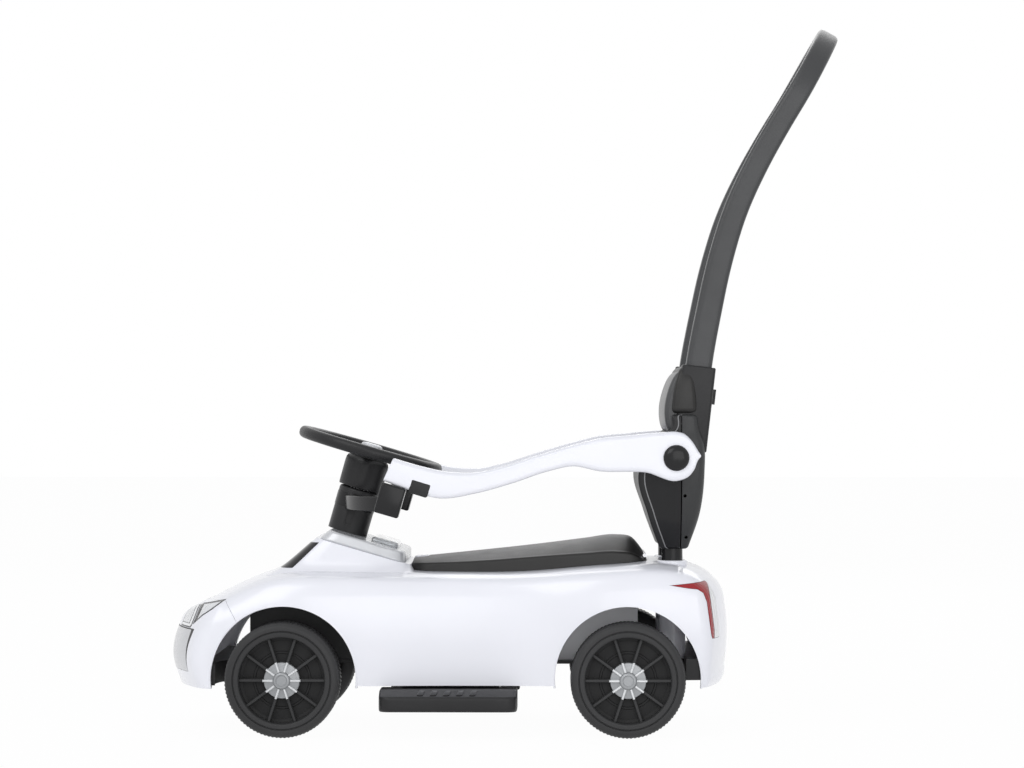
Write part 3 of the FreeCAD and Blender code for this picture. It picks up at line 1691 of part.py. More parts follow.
def export_pieces():
    """Write each piece to its own file and print its volume."""
    os.makedirs("parts", exist_ok=True)
    for label, solid in sorted(pieces.items()):
        solid.Shape.exportStep(os.path.join("parts", f"{label}.step"))
        print(f"{label}: {len(solid.Shape.Solids)} solids, {solid.Shape.Volume / 1000:.1f} cm3")
    print(f"{len(pieces)} pieces")


doc.recompute()
check_document()
export_pieces()
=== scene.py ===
"""Looks of the push car: its visible surfaces and finishes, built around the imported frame."""

import json
import logging
import math
from collections.abc import Callable, Sequence
from dataclasses import dataclass, field
from enum import Enum, IntEnum

import bmesh
import bpy
import numpy as np
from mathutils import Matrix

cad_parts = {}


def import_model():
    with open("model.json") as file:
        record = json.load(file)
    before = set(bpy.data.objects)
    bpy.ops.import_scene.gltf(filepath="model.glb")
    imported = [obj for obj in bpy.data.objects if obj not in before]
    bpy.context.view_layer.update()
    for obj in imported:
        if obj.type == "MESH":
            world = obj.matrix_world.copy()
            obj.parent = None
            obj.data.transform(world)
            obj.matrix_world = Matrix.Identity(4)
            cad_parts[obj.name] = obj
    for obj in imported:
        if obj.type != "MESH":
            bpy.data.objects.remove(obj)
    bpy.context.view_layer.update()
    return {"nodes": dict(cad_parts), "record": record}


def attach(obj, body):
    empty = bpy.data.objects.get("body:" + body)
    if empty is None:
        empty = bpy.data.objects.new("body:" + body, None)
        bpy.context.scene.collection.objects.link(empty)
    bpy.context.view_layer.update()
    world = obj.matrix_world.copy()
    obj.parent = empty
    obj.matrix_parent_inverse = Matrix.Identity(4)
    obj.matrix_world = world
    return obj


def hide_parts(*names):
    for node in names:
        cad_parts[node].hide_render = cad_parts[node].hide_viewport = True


LOG = logging.getLogger("push_car")
MM = 0.001
COAT_ROUGHNESS = 0.08
LEAST_ROUGHNESS = 0.02
GRAIN_STRENGTH = 0.6
RIB_STRENGTH = 0.5
RIB_SLENDERNESS = 6.0
SLOW_NOISE = (9.0, 3.0)
SMEAR_NOISE = (45.0, 4.0)
WAVE_PERIOD = 0.31416
RAMP_STOPS = (0.3, 0.7)
CRISP_ANGLE = 40.0
MERGE_DISTANCE = 0.00002
EMPTY_DISTANCE = 0.000005
Array = np.ndarray
Vector = Array | Sequence[float]
Rows = Array | Sequence[Sequence[float]]
Object = bpy.types.Object
Tree = bpy.types.NodeTree
Node = bpy.types.Node
Socket = bpy.types.NodeSocket


class Place(Enum):
    """A named place on the car."""

    @property
    def word(self) -> str:
        """The place's name in the frame's nodes."""
        return self.name.lower()


class Side(Place):
    """The car's two sides, with the sign of their Y."""

    LEFT = -1
    RIGHT = 1


class End(Place):
    """The car's two axles, with their X in millimetres."""

    FRONT = -289.0
    REAR = 161.0


class Axis(IntEnum):
    """The car's three axes, by their place in a point."""

    X = 0
    Y = 1
    Z = 2


class Cut(Enum):
    """What a cut leaves of an object: what lies outside the tool, or inside it."""

    OUTSIDE = "DIFFERENCE"
    INSIDE = "INTERSECT"


class Grain(Enum):
    """The fine relief of a moulded surface: noise scale per metre, height and detail."""

    POLISHED = (60.0, 0.00004, 2.0)
    SPARK = (2600.0, 0.00010, 2.0)
    LEATHERY = (900.0, 0.00022, 4.0)
    RUBBERY = (1500.0, 0.00016, 3.0)
    BRUSHED = (700.0, 0.00005, 6.0)


def fill(tree: Tree, node: Node, inputs: dict) -> None:
    """Fill a node's inputs, each with a value or with the output of another node.

    Args:
        tree: The tree that holds the node.
        node: The node.
        inputs: What goes into each input, by the input's name or number.
    """
    for key, value in inputs.items():
        if isinstance(value, Socket):
            tree.links.new(value, node.inputs[key])
        else:
            node.inputs[key].default_value = value


def add_node(tree: Tree, kind: str, inputs: dict | None = None) -> Node:
    """Add a shader node to a tree and fill its inputs.

    Args:
        tree: The tree that gets the node.
        kind: The node's type, without its usual first words.
        inputs: What goes into each input, by the input's name or number.

    Returns:
        The new node.
    """
    node = tree.nodes.new(f"ShaderNode{kind}")
    fill(tree, node, inputs or {})
    return node


@dataclass(frozen=True)
class Finish:
    """One material: its colour, how the colour drifts, its gloss and its grain.

    The colour drifts between two shades by a slow noise, roughness by a finer one, and the grain is a bump.
    """

    name: str
    colour: tuple[float, float, float]
    roughness: float
    grain: Grain
    drift: float = 0.06
    roughness_drift: float = 0.06
    metallic: float = 0.0
    coat: float = 0.0
    transmission: float = 0.0
    rib_pitch: float = 0.0
    specular: float = 0.5

    def build(self) -> bpy.types.Material:
        """Make the node material.

        Returns:
            The material, ready to be assigned.
        """
        material = bpy.data.materials.new(self.name)
        material.use_nodes = True
        tree = material.node_tree
        place = add_node(tree, "TexCoord").outputs["Object"]
        scale, height, detail = self.grain.value
        slow, smear, fine = (
            add_node(tree, "TexNoise", {"Vector": place, "Scale": often, "Detail": octaves}).outputs["Fac"]
            for often, octaves in (SLOW_NOISE, SMEAR_NOISE, (scale, detail))
        )
        ramp = add_node(tree, "ValToRGB", {"Fac": slow})
        for element, position, drift in zip(ramp.color_ramp.elements, RAMP_STOPS, (-self.drift, self.drift)):
            element.position = position
            element.color = (*(min(channel * (1 + drift), 1.0) for channel in self.colour), 1)
        spread = add_node(tree, "MapRange", {
            "Value": smear,
            "To Min": max(self.roughness - self.roughness_drift, LEAST_ROUGHNESS),
            "To Max": min(self.roughness + self.roughness_drift, 1.0),
        })
        bump = add_node(tree, "Bump", {"Height": fine, "Strength": GRAIN_STRENGTH, "Distance": height})
        if self.rib_pitch:
            bump = self.ribs(tree, place, bump)
        fill(tree, tree.nodes["Principled BSDF"], {
            "Base Color": ramp.outputs["Color"],
            "Roughness": spread.outputs["Result"],
            "Normal": bump.outputs["Normal"],
            "Metallic": self.metallic,
            "Specular IOR Level": self.specular,
            "Coat Weight": self.coat,
            "Coat Roughness": COAT_ROUGHNESS,
            "Transmission Weight": self.transmission,
        })
        return material

    def ribs(self, tree: Tree, place: Socket, bump: Node) -> Node:
        """Add fine upright ribs, as moulded inside a lamp, over the grain.

        Args:
            tree: The material's tree.
            place: The object's coordinates.
            bump: The grain's bump node.

        Returns:
            The bump node of both.
        """
        wave = add_node(tree, "TexWave", {"Vector": place, "Scale": WAVE_PERIOD / self.rib_pitch})
        wave.bands_direction = "Y"
        return add_node(tree, "Bump", {
            "Height": wave.outputs["Fac"],
            "Normal": bump.outputs["Normal"],
            "Strength": RIB_STRENGTH,
            "Distance": self.rib_pitch / RIB_SLENDERNESS,
        })


class Palette:
    """Every finish of the car, built once and looked up by name."""

    FINISHES = (
        Finish("white_gloss", (0.895, 0.90, 0.95), 0.22, Grain.POLISHED, 0.012, 0.05, coat=0.35),
        Finish("black_satin", (0.017, 0.017, 0.018), 0.38, Grain.SPARK, 0.12, 0.08, specular=0.28),
        Finish("black_seat", (0.016, 0.0155, 0.015), 0.40, Grain.LEATHERY, 0.12, 0.07, specular=0.36),
        Finish("black_wheel", (0.036, 0.036, 0.037), 0.50, Grain.RUBBERY, 0.14, 0.08, specular=0.26),
        Finish("black_gloss", (0.006, 0.006, 0.007), 0.1, Grain.POLISHED, 0.1, 0.04, coat=0.1, specular=0.3),
        Finish("black_gloss_soft", (0.015, 0.015, 0.016), 0.20, Grain.POLISHED, 0.10, 0.06, specular=0.24),
        Finish("handle_grey", (0.048, 0.049, 0.051), 0.36, Grain.SPARK, 0.10, 0.07, specular=0.4),
        Finish("shell_grey", (0.030, 0.031, 0.032), 0.42, Grain.SPARK, 0.10, 0.08, specular=0.4),
        # painted reflection: the head pad is black plastic like its block, made lighter grey to stand for the
        # reflection on its shiny front
        Finish("pad_grey", (0.055, 0.056, 0.058), 0.34, Grain.LEATHERY, 0.08, 0.06, specular=0.5),
        # painted highlight: the pale grey of the strip behind the backrest's seam, standing for the highlight
        # along the gap
        Finish("seam_highlight_grey", (0.22, 0.22, 0.225), 0.35, Grain.SPARK, 0.08, 0.06),
        # painted shade: the dish is the wheel's own black plastic, made darker than the tyre and spokes to
        # stand for the shade in its recess
        Finish("black_dish", (0.017, 0.017, 0.0175), 0.55, Grain.RUBBERY, 0.14, 0.08, specular=0.22),
        # painted highlight: the hub ribs are the hub cap's grey plastic, made much lighter to stand for the
        # highlights on their crests
        Finish("hub_rib", (0.70, 0.71, 0.72), 0.30, Grain.SPARK, 0.06, 0.06, metallic=0.25),
        Finish("hub_grey", (0.34, 0.35, 0.36), 0.34, Grain.SPARK, 0.06, 0.06, metallic=0.35),
        Finish("dash_silver", (0.60, 0.61, 0.63), 0.26, Grain.SPARK, 0.05, 0.06, metallic=0.25, coat=0.4),
        Finish("grille_silver", (0.56, 0.565, 0.585), 0.24, Grain.SPARK, 0.05, 0.06, metallic=0.3, coat=0.3),
        Finish("lamp_trim", (0.10, 0.10, 0.105), 0.30, Grain.POLISHED, 0.05, 0.05),
        Finish("lamp_chrome", (0.82, 0.83, 0.85), 0.12, Grain.POLISHED, 0.05, 0.05, metallic=0.9),
        Finish("lamp_glass", (0.8, 0.81, 0.83), 0.14, Grain.POLISHED, 0.08, 0.05, 0.25, 0.6, rib_pitch=0.009),
        Finish("lamp_clear", (0.86, 0.88, 0.9), 0.08, Grain.POLISHED, 0.02, 0.03, coat=0.8,
               transmission=0.55),
        Finish("lamp_red", (0.34, 0.006, 0.012), 0.18, Grain.POLISHED, 0.10, 0.05, rib_pitch=0.004),
        Finish("inner_grey", (0.80, 0.805, 0.82), 0.45, Grain.SPARK, 0.06, 0.06),
        Finish("zinc_steel", (0.52, 0.52, 0.54), 0.30, Grain.BRUSHED, 0.08, 0.08, metallic=1.0),
        Finish("circuit_green", (0.03, 0.10, 0.05), 0.40, Grain.SPARK, 0.15, 0.08),
        Finish("button_pale", (0.70, 0.71, 0.73), 0.25, Grain.POLISHED, 0.03, 0.05, coat=0.3),
    )

    def __init__(self) -> None:
        """Build every material."""
        self.materials = {finish.name: finish.build() for finish in self.FINISHES}

    def dress(self, obj: Object, name: str) -> None:
        """Give an object one finish all over.

        Args:
            obj: The mesh object.
            name: The finish's name.
        """
        obj.data.materials.clear()
        obj.data.materials.append(self.materials[name])


def grid_faces(rows: int, columns: int, wrap: bool) -> Array:
    """Quads of a grid whose vertices run row by row.

    Args:
        rows: How many rows of vertices there are.
        columns: How many vertices each row has.
        wrap: Whether the last column joins the first.

    Returns:
        An array of four vertex numbers for each quad.
    """
    across = columns if wrap else columns - 1
    row, column = np.meshgrid(np.arange(rows - 1), np.arange(across), indexing="ij")
    following = (column + 1) % columns
    corners = (row * columns + column, row * columns + following, (row + 1) * columns + following,
               (row + 1) * columns + column)
    return np.stack([corner.ravel() for corner in corners], axis=1)


@dataclass
class Draft:
    """A mesh in the making: grids of points, in millimetres, that end up in one object."""

    vertices: list[Array] = field(default_factory=list)
    faces: list[list[int]] = field(default_factory=list)
    count: int = 0

    def grid(self, points: Array, wrap: bool = False, cap_start: bool = False, cap_end: bool = False) -> None:
        """Add a grid of points as quads.

        Args:
            points: An array of rows by columns by 3.
            wrap: Whether each row is a closed ring.
            cap_start: Whether the first ring is filled with one face.
            cap_end: Whether the last ring is filled with one face.
        """
        rows, columns = points.shape[:2]
        self.vertices.append(points.reshape(-1, 3))
        self.faces += (grid_faces(rows, columns, wrap) + self.count).tolist()
        if cap_start:
            self.faces.append((np.arange(columns)[::-1] + self.count).tolist())
        if cap_end:
            self.faces.append((np.arange(columns) + self.count + (rows - 1) * columns).tolist())
        self.count += rows * columns

    def closed(self, points: Array) -> None:
        """Add a grid whose rows are closed rings, with its first and last ring filled."""
        self.grid(points, True, True, True)

    @classmethod
    def of(cls, *grids: Array) -> "Draft":
        """A draft of closed grids.

        Args:
            grids: Arrays of rings by points by 3.

        Returns:
            The draft.
        """
        draft = cls()
        for points in grids:
            draft.closed(points)
        return draft

    def build(self, name: str, crisp: float = CRISP_ANGLE) -> Object:
        """Make the mesh object: merge doubles, turn faces outwards and shade it smooth.

        Args:
            name: The object's name.
            crisp: Edges that turn more than this many degrees stay crisp.

        Returns:
            The new object, in metres, at the origin.
        """
        mesh = bpy.data.meshes.new(name)
        mesh.from_pydata((np.concatenate(self.vertices) * MM).tolist(), [], self.faces)
        tidy_mesh(mesh)
        obj = bpy.data.objects.new(name, mesh)
        bpy.context.scene.collection.objects.link(obj)
        polish(obj, crisp)
        return obj


def tidy_mesh(mesh: bpy.types.Mesh) -> None:
    """Merge doubled vertices, drop empty faces and point the rest outwards.

    Args:
        mesh: The mesh that is changed.
    """
    work = bmesh.new()
    work.from_mesh(mesh)
    bmesh.ops.remove_doubles(work, verts=work.verts, dist=MERGE_DISTANCE)
    bmesh.ops.dissolve_degenerate(work, edges=work.edges, dist=EMPTY_DISTANCE)
    bmesh.ops.recalc_face_normals(work, faces=work.faces)
    work.to_mesh(mesh)
    work.free()


def smooth(knots: Vector, values: Rows, places: Vector) -> Array:
    """A smooth line through values at knots: cubic pieces whose slopes are three-point differences.

    Args:
        knots: Rising parameters.
        values: One value or row of values for each knot.
        places: Where the line is read.

    Returns:
        The values at the places.
    """
    knots = np.asarray(knots, float)
    values = np.asarray(values, float)
    places = np.asarray(places, float)
    slopes = np.gradient(values, knots, axis=0)
    index = np.clip(np.searchsorted(knots, places, side="right") - 1, 0, len(knots) - 2)
    width = knots[index + 1] - knots[index]
    t = np.clip((places - knots[index]) / width, 0, 1)
    if values.ndim > 1:
        width = width[..., None]
        t = t[..., None]
    start = (2 * t**3 - 3 * t**2 + 1) * values[index] + (t**3 - 2 * t**2 + t) * width * slopes[index]
    end = (3 * t**2 - 2 * t**3) * values[index + 1] + (t**3 - t**2) * width * slopes[index + 1]
    return start + end


def lengths(points: Array) -> Array:
    """How far along a line each of its points lies."""
    return np.concatenate([[0.0], np.cumsum(np.linalg.norm(np.diff(points, axis=0), axis=1))])


def through(points: Rows, count: int, closed: bool = False) -> Array:
    """A smooth line through points, read at even steps of its chords.

    Args:
        points: The points, as rows.
        count: How many points the line gets.
        closed: Whether the line runs back to its start.

    Returns:
        The line's points.
    """
    points = np.asarray(points, float)
    around = np.concatenate([points[-3:], points, points[:4]]) if closed else points
    knots = lengths(around)
    if closed:
        return smooth(knots, around, np.linspace(knots[3], knots[3 + len(points)], count, endpoint=False))
    return smooth(knots, around, np.linspace(0, knots[-1], count))


def evenly(outline: Array, count: int) -> Array:
    """A closed outline read at even steps of its length.

    Args:
        outline: The points in order.
        count: How many points the new outline gets.

    Returns:
        The new outline's points.
    """
    ring = np.concatenate([outline, outline[:1]])
    length = lengths(ring)
    place = np.linspace(0, length[-1], count, endpoint=False)
    return np.stack([np.interp(place, length, ring[:, axis]) for axis in (0, 1)], axis=1)


def rectangle(low_u: float, low_v: float, high_u: float, high_v: float) -> tuple:
    """The corners of a rectangle, counterclockwise."""
    return (low_u, low_v), (high_u, low_v), (high_u, high_v), (low_u, high_v)


def rounded(corners: Rows, radius: float | Vector, per_corner: int = 8) -> Array:
    """A closed outline whose corners are rounded by quadratic arcs.

    Args:
        corners: The corners in order, as rows of two numbers.
        radius: How far from each corner its arc starts, one number or one for each corner.
        per_corner: How many points each arc has.

    Returns:
        The outline's points.
    """
    corners = np.asarray(corners, float)
    radius = np.broadcast_to(np.asarray(radius, float), len(corners))[:, None]
    before = np.roll(corners, 1, 0) - corners
    after = np.roll(corners, -1, 0) - corners
    start = corners + before / np.linalg.norm(before, axis=1, keepdims=True) * radius
    end = corners + after / np.linalg.norm(after, axis=1, keepdims=True) * radius
    t = np.linspace(0, 1, per_corner)[None, :, None]
    arcs = (1 - t) ** 2 * start[:, None] + 2 * t * (1 - t) * corners[:, None] + t**2 * end[:, None]
    return arcs.reshape(-1, 2)


def oval(half_wide: float, half_high: float, power: float, count: int) -> Array:
    """A superellipse: |u/a|^n + |v/b|^n = 1, from an ellipse at power 2 towards a rounded box.

    Args:
        half_wide: Half its width.
        half_high: Half its height.
        power: The exponent n.
        count: How many points it has.

    Returns:
        The outline's points, counterclockwise.
    """
    angle = np.linspace(0, 2 * np.pi, count, endpoint=False)
    cosine, sine = np.cos(angle), np.sin(angle)
    u = half_wide * np.sign(cosine) * np.abs(cosine) ** (2 / power)
    v = half_high * np.sign(sine) * np.abs(sine) ** (2 / power)
    return np.stack([u, v], axis=1)


def winding(outline: Array) -> float:
    """The sign of an outline's area: 1 where it runs counterclockwise and -1 where it runs clockwise."""
    following = np.roll(outline, -1, 0)
    return np.sign(np.sum(outline[:, 0] * following[:, 1] - following[:, 0] * outline[:, 1]))


def inset(outline: Array, amount: float) -> Array:
    """A closed outline moved inwards along its normals.

    Args:
        outline: The points in order.
        amount: How far it moves.

    Returns:
        The moved points.
    """
    tangent = np.roll(outline, -1, 0) - np.roll(outline, 1, 0)
    normal = np.stack([-tangent[:, 1], tangent[:, 0]], axis=1) * winding(outline)
    return outline + amount * normal / np.maximum(np.linalg.norm(normal, axis=1, keepdims=True), 1e-9)


def grown(corners: Rows, amount: float) -> Array:
    """A polygon moved outwards: each corner goes along its mitre, a (n1 + n2) / (1 + n1 n2).

    Args:
        corners: The corners in order, as rows of two numbers.
        amount: How far each edge moves along its normal n.

    Returns:
        The moved corners.
    """
    corners = np.asarray(corners, float)
    edge = np.roll(corners, -1, 0) - corners
    after = np.stack([edge[:, 1], -edge[:, 0]], axis=1) * winding(corners)
    after = after / np.linalg.norm(edge, axis=1, keepdims=True)
    before = np.roll(after, 1, 0)
    return corners + amount * (before + after) / (1 + np.sum(before * after, axis=1, keepdims=True))


def prism(outline: Array, axis: Axis, *levels: float) -> Array:
    """Rings of a prism: an outline in two axes, carried to each level along the third."""
    return np.stack([np.insert(outline, axis, level, axis=1) for level in levels])


def drawn_in(radius: float, away: Array) -> Array:
    """How far a round corner draws an edge in, r - sqrt(r^2 - (r - d)^2), at distances d from its end."""
    return radius - np.sqrt(np.clip(radius**2 - np.clip(radius - away, 0, None) ** 2, 0, None))


def slab(outline: Array, low: float, high: float, edge: float, steps: int = 5) -> Array:
    """Rings of a slab with rolled edges: the outline moved in by e(1 - sin a) at e(1 - cos a) from each face.

    Args:
        outline: The slab's outline, as rows of u and v.
        low: Its lower face along w.
        high: Its upper face along w.
        edge: The radius of its edges.
        steps: How many rings each edge has.

    Returns:
        A grid of rings by points by u, v and w.
    """
    angle = np.linspace(0, np.pi / 2, steps)
    moves = edge * (1 - np.sin(angle))
    rises = edge * (1 - np.cos(angle))
    moves = np.concatenate([moves, moves[::-1]])
    levels = np.concatenate([low + rises, high - rises[::-1]])
    return np.concatenate([prism(inset(outline, move), Axis.Z, level) for move, level in zip(moves, levels)])


def placed(points: Array, origin: Vector, u_axis: Vector, v_axis: Vector, w_axis: Vector) -> Array:
    """Local points carried to the car's frame: origin + u U + v V + w W."""
    axes = np.array([u_axis, v_axis, w_axis], float)
    return np.asarray(origin, float) + points @ axes


def on_axis(points: Array, x: float, z: float, tilt: float) -> Array:
    """Carry local points to a frame at X and Z whose w axis leans back by a tilt in degrees."""
    sine, cosine = math.sin(math.radians(tilt)), math.cos(math.radians(tilt))
    return placed(points, (x, 0, z), (cosine, 0, -sine), (0, 1, 0), (sine, 0, cosine))


def beside(points: Array, x: float, z: float, side: Side) -> Array:
    """Carry local points to a crosswise axis at X and Z: u along X, v up and w outwards on a side."""
    return placed(points, (x, 0, z), (1, 0, 0), (0, 0, 1), (0, side.value, 0))


def swept(
    path: Array, section: Array, side: Rows | Vector, up: Rows | Vector, wide: float | Array = 1.0,
    high: float | Array = 1.0,
) -> Array:
    """A section carried along a path: point = path + wide u side + high v up.

    Args:
        path: The path's points.
        section: The section's points, as rows of u and v.
        side: The direction of u, at each point of the path or for all.
        up: The direction of v, at each point of the path or for all.
        wide: A factor on u, for each point of the path or for all.
        high: A factor on v, for each point of the path or for all.

    Returns:
        A grid of path by section by 3.
    """
    side, up = np.broadcast_to(side, path.shape), np.broadcast_to(up, path.shape)
    wide = np.broadcast_to(np.asarray(wide, float), len(path))[:, None, None]
    high = np.broadcast_to(np.asarray(high, float), len(path))[:, None, None]
    across = wide * section[None, :, :1] * side[:, None, :]
    upwards = high * section[None, :, 1:] * up[:, None, :]
    return path[:, None, :] + across + upwards


def turned(profile: Rows, count: int) -> Array:
    """A profile of radius and height turned about the w axis: u = r cos a, v = r sin a.

    Args:
        profile: Rows of radius and height.
        count: How many steps the turn has.

    Returns:
        A grid of profile by turn by u, v and w.
    """
    profile = np.asarray(profile, float)
    angle = np.linspace(0, 2 * np.pi, count, endpoint=False)
    radius = profile[:, :1]
    height = np.broadcast_to(profile[:, 1:2], (len(profile), count))
    return np.stack([radius * np.cos(angle), radius * np.sin(angle), height], axis=2)


def spun(points: Array, count: int, phase: float) -> Array:
    """Copies of local points turned by even steps about w: u cos a - v sin a and u sin a + v cos a.

    Args:
        points: The points, rows by columns by u, v and w.
        count: How many copies a whole turn has.
        phase: The first copy's angle.

    Returns:
        An array of copies by rows by columns by u, v and w.
    """
    angle = (np.linspace(0, 2 * np.pi, count, endpoint=False) + phase)[:, None, None]
    u, v, w = np.moveaxis(points, 2, 0)
    turned_u, turned_v = u * np.cos(angle) - v * np.sin(angle), u * np.sin(angle) + v * np.cos(angle)
    return np.stack(np.broadcast_arrays(turned_u, turned_v, w), axis=3)


def apply_modifiers(obj: Object) -> None:
    """Bake an object's modifiers into its mesh and drop them.

    Args:
        obj: The mesh object.
    """
    graph = bpy.context.evaluated_depsgraph_get()
    graph.update()
    mesh = bpy.data.meshes.new_from_object(obj.evaluated_get(graph))
    obj.modifiers.clear()
    obj.data = mesh


def polish(obj: Object, angle: float = CRISP_ANGLE) -> None:
    """Shade an object smooth up to an angle between its faces."""
    obj.data.shade_smooth()
    obj.data.set_sharp_from_angle(angle=math.radians(angle))


def discard(obj: Object) -> None:
    """Remove a helper object from the scene."""
    bpy.data.objects.remove(obj, do_unlink=True)


def carve(obj: Object, draft: Draft, keep: Cut = Cut.OUTSIDE, angle: float = CRISP_ANGLE) -> None:
    """Cut an object by a draft, or keep what they share, bake the result and shade it anew.

    Args:
        obj: The mesh object.
        draft: The tool's shape.
        keep: What is left of the object.
        angle: Edges that turn more than this many degrees stay crisp.

    Raises:
        RuntimeError: If nothing is left of the object.
    """
    tool = draft.build(f"{obj.name}_tool")
    modifier = obj.modifiers.new("carve", "BOOLEAN")
    modifier.operation = keep.value
    modifier.solver = "EXACT"
    modifier.object = tool
    apply_modifiers(obj)
    discard(tool)
    if not obj.data.polygons:
        raise RuntimeError(f"nothing is left of {obj.name}")
    polish(obj, angle)


def thicken(obj: Object, wall: float, even: bool = False) -> None:
    """Give a sheet a wall on its inside and bake it.

    Args:
        obj: The mesh object.
        wall: The wall's thickness in millimetres.
        even: Whether the wall keeps its thickness round sharp bends.
    """
    modifier = obj.modifiers.new("wall", "SOLIDIFY")
    modifier.thickness = wall * MM
    modifier.offset = -1
    if even:
        modifier.use_even_offset = True
    apply_modifiers(obj)


def copied(obj: Object, name: str) -> Object:
    """A copy of an object with a mesh of its own.

    Args:
        obj: The mesh object.
        name: The copy's name.

    Returns:
        The copy.
    """
    twin = obj.copy()
    twin.data = obj.data.copy()
    twin.name = name
    bpy.context.scene.collection.objects.link(twin)
    return twin


def soften(obj: Object, width: float, angle: float, segments: int = 2) -> None:
    """Round an object's crisp edges with a bevel.

    Args:
        obj: The mesh object.
        width: The bevel's width in millimetres.
        angle: Edges that turn more than this many degrees are rounded.
        segments: How many faces the rounding has.
    """
    bevel = obj.modifiers.new("rolled edges", "BEVEL")
    bevel.width = width * MM
    bevel.segments = segments
    bevel.limit_method = "ANGLE"
    bevel.angle_limit = math.radians(angle)
    bevel.harden_normals = False


@dataclass
class Builder:
    """What every sub-assembly needs: the palette, and the book-keeping of each finished piece."""

    palette: Palette

    def finish(self, obj: Object, body: str, finish: str, slot: str, *nodes: str) -> None:
        """Dress a piece, let it ride on its body and stand for its CAD nodes.

        Args:
            obj: The piece.
            body: The CAD body that it moves with.
            finish: The finish's name.
            slot: The record's material slot; not used.
            nodes: The CAD nodes that it replaces.
        """
        self.palette.dress(obj, finish)
        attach(obj, body)
        if nodes:
            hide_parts(*nodes)
        LOG.info("%s rides on %s", obj.name, body)


@dataclass
class Hull(Builder):
    """The white lower body: arched sections lofted from a bowed nose to a bowed tail."""

    nose: float = -450.0
    tail: float = 295.0
    half_width: float = 162.0
    deck: float = 226.0
    nose_bow: float = 55.0
    tail_bow: float = 34.0
    bow_reach: float = 165.5
    nose_edge: float = 17.0
    tail_edge: float = 15.0
    wall: float = 3.2
    arch_radius: float = 95.0
    axle_height: float = 75.0
    tuck: float = 0.012
    bow_share: float = 0.94
    nose_fade: float = 0.22
    tail_fade: float = 0.12
    stations: tuple = (
        (-0.010, 0.895, 0.640), (0.040, 0.920, 0.758), (0.107, 0.957, 0.858), (0.201, 1.000, 0.942),
        (0.336, 0.975, 0.955), (0.470, 0.920, 0.947), (0.644, 0.926, 0.951), (0.779, 0.988, 0.987),
        (0.886, 0.994, 1.000), (0.973, 0.938, 0.973), (1.010, 0.900, 0.945),
    )
    shoulder: tuple = ((1.0, 0.58), (0.998, 0.68), (0.990, 0.78), (0.950, 0.890), (0.905, 0.945),
                       (0.80, 0.974), (0.5, 0.992), (0.0, 1.0))
    foot_line: tuple = ((-437, -384, -194, 66, 256, 272), (56, 62, 66, 66, 64, 62))
    nose_side: tuple = ((30, 56, 100, 160, 200, 240), (24, 13, 0, 18, 42, 70))
    tail_side: tuple = ((40, 56, 66, 90, 165, 192, 206, 230), (26, 12, 4, 0, 0, 7, 20, 46))

    def station(self, x: Array, column: int) -> Array:
        """One column of the stations' table, read smoothly along the body.

        Args:
            x: X of each place.
            column: Which column is read.

        Returns:
            The column's share at each X.
        """
        table = np.array(self.stations)
        share = (x - self.nose) / (self.tail - self.nose)
        return smooth(table[:, 0], table[:, column], np.clip(share, table[0, 0], table[-1, 0]))

    def width(self, x: Array) -> Array:
        """Half the body's width at each X."""
        return self.half_width * self.station(x, 1)

    def crown(self, x: Array) -> Array:
        """The height of the body's middle line at each X."""
        return self.deck * self.station(x, 2)

    def bottom(self, x: Array) -> Array:
        """The height of the body's lower edge at each X."""
        return np.interp(x, *self.foot_line)

    def nose_x(self, y: Array, z: Array) -> Array:
        """X of the nose: bowed in plan, leaned back below its tip and rolled back above."""
        return self.nose + self.nose_bow * (y / self.bow_reach) ** 2 + smooth(*self.nose_side, z)

    def tail_x(self, y: Array, z: Array) -> Array:
        """X of the tail: bowed in plan, tucked in at its foot and rolled over at its top."""
        return self.tail - self.tail_bow * (y / self.bow_reach) ** 2 - smooth(*self.tail_side, z)

    def columns(self) -> tuple[Array, ...]:
        """A whole section from the left edge over the crown to the right edge.

        Returns:
            The shares of the half width, of the lower edge's height and of the crown's height, by column.
        """
        lower = np.linspace(0, 1, 16)[:-1]
        upper = through(self.shoulder, 44)
        wide = np.concatenate([1 - self.tuck + self.tuck * lower, upper[:, 0]])
        foot = np.concatenate([1 - lower, np.zeros(len(upper))])
        high = np.concatenate([self.shoulder[0][1] * lower, upper[:, 1]])
        halves = ((-wide, wide), (foot, foot), (high, high))
        return tuple(np.concatenate([left, right[-2::-1]]) for left, right in halves)

    def section(self, x: Array) -> tuple[Array, Array]:
        """Y and Z of whole sections: y = w(x) times the width share, z = foot share b(x) + crown share c(x).

        Args:
            x: X of each row, or of each row and column.

        Returns:
            Y and Z, rows by columns, from the left edge over the crown to the right edge.
        """
        wide, foot, high = self.columns()
        return self.width(x) * wide, foot * self.bottom(x) + high * self.crown(x)

    def surface(self) -> Array:
        """The body's outside: nose face, rolled edge, flanks and deck, rolled edge and tail face.

        Returns:
            A grid of rows from nose to tail by columns from the left edge to the right edge.
        """
        share = np.linspace(0, 1, 125)[:, None]
        sway = (self.columns()[0] * self.bow_share * self.half_width / self.bow_reach) ** 2
        front = self.nose + self.nose_edge + self.nose_bow * sway
        rear = self.tail - self.tail_edge - self.tail_bow * sway
        x = front + (rear - front) * share
        y, z = self.section(x)
        lead = self.nose_x(np.zeros_like(z), z) - self.nose
        trail = self.tail - self.tail_x(np.zeros_like(z), z)
        fade = np.clip(1 - share / self.nose_fade, 0, 1) ** 2
        x = x + lead * fade - trail * np.clip(1 - (1 - share) / self.tail_fade, 0, 1) ** 2
        flank = np.stack([x, y, z], axis=2)
        nose = self.end_face(y[0], z[0], self.nose_edge, self.nose_x, 1)
        tail = self.end_face(y[-1], z[-1], self.tail_edge, self.tail_x, -1)
        return np.concatenate([nose[::-1], flank, tail])

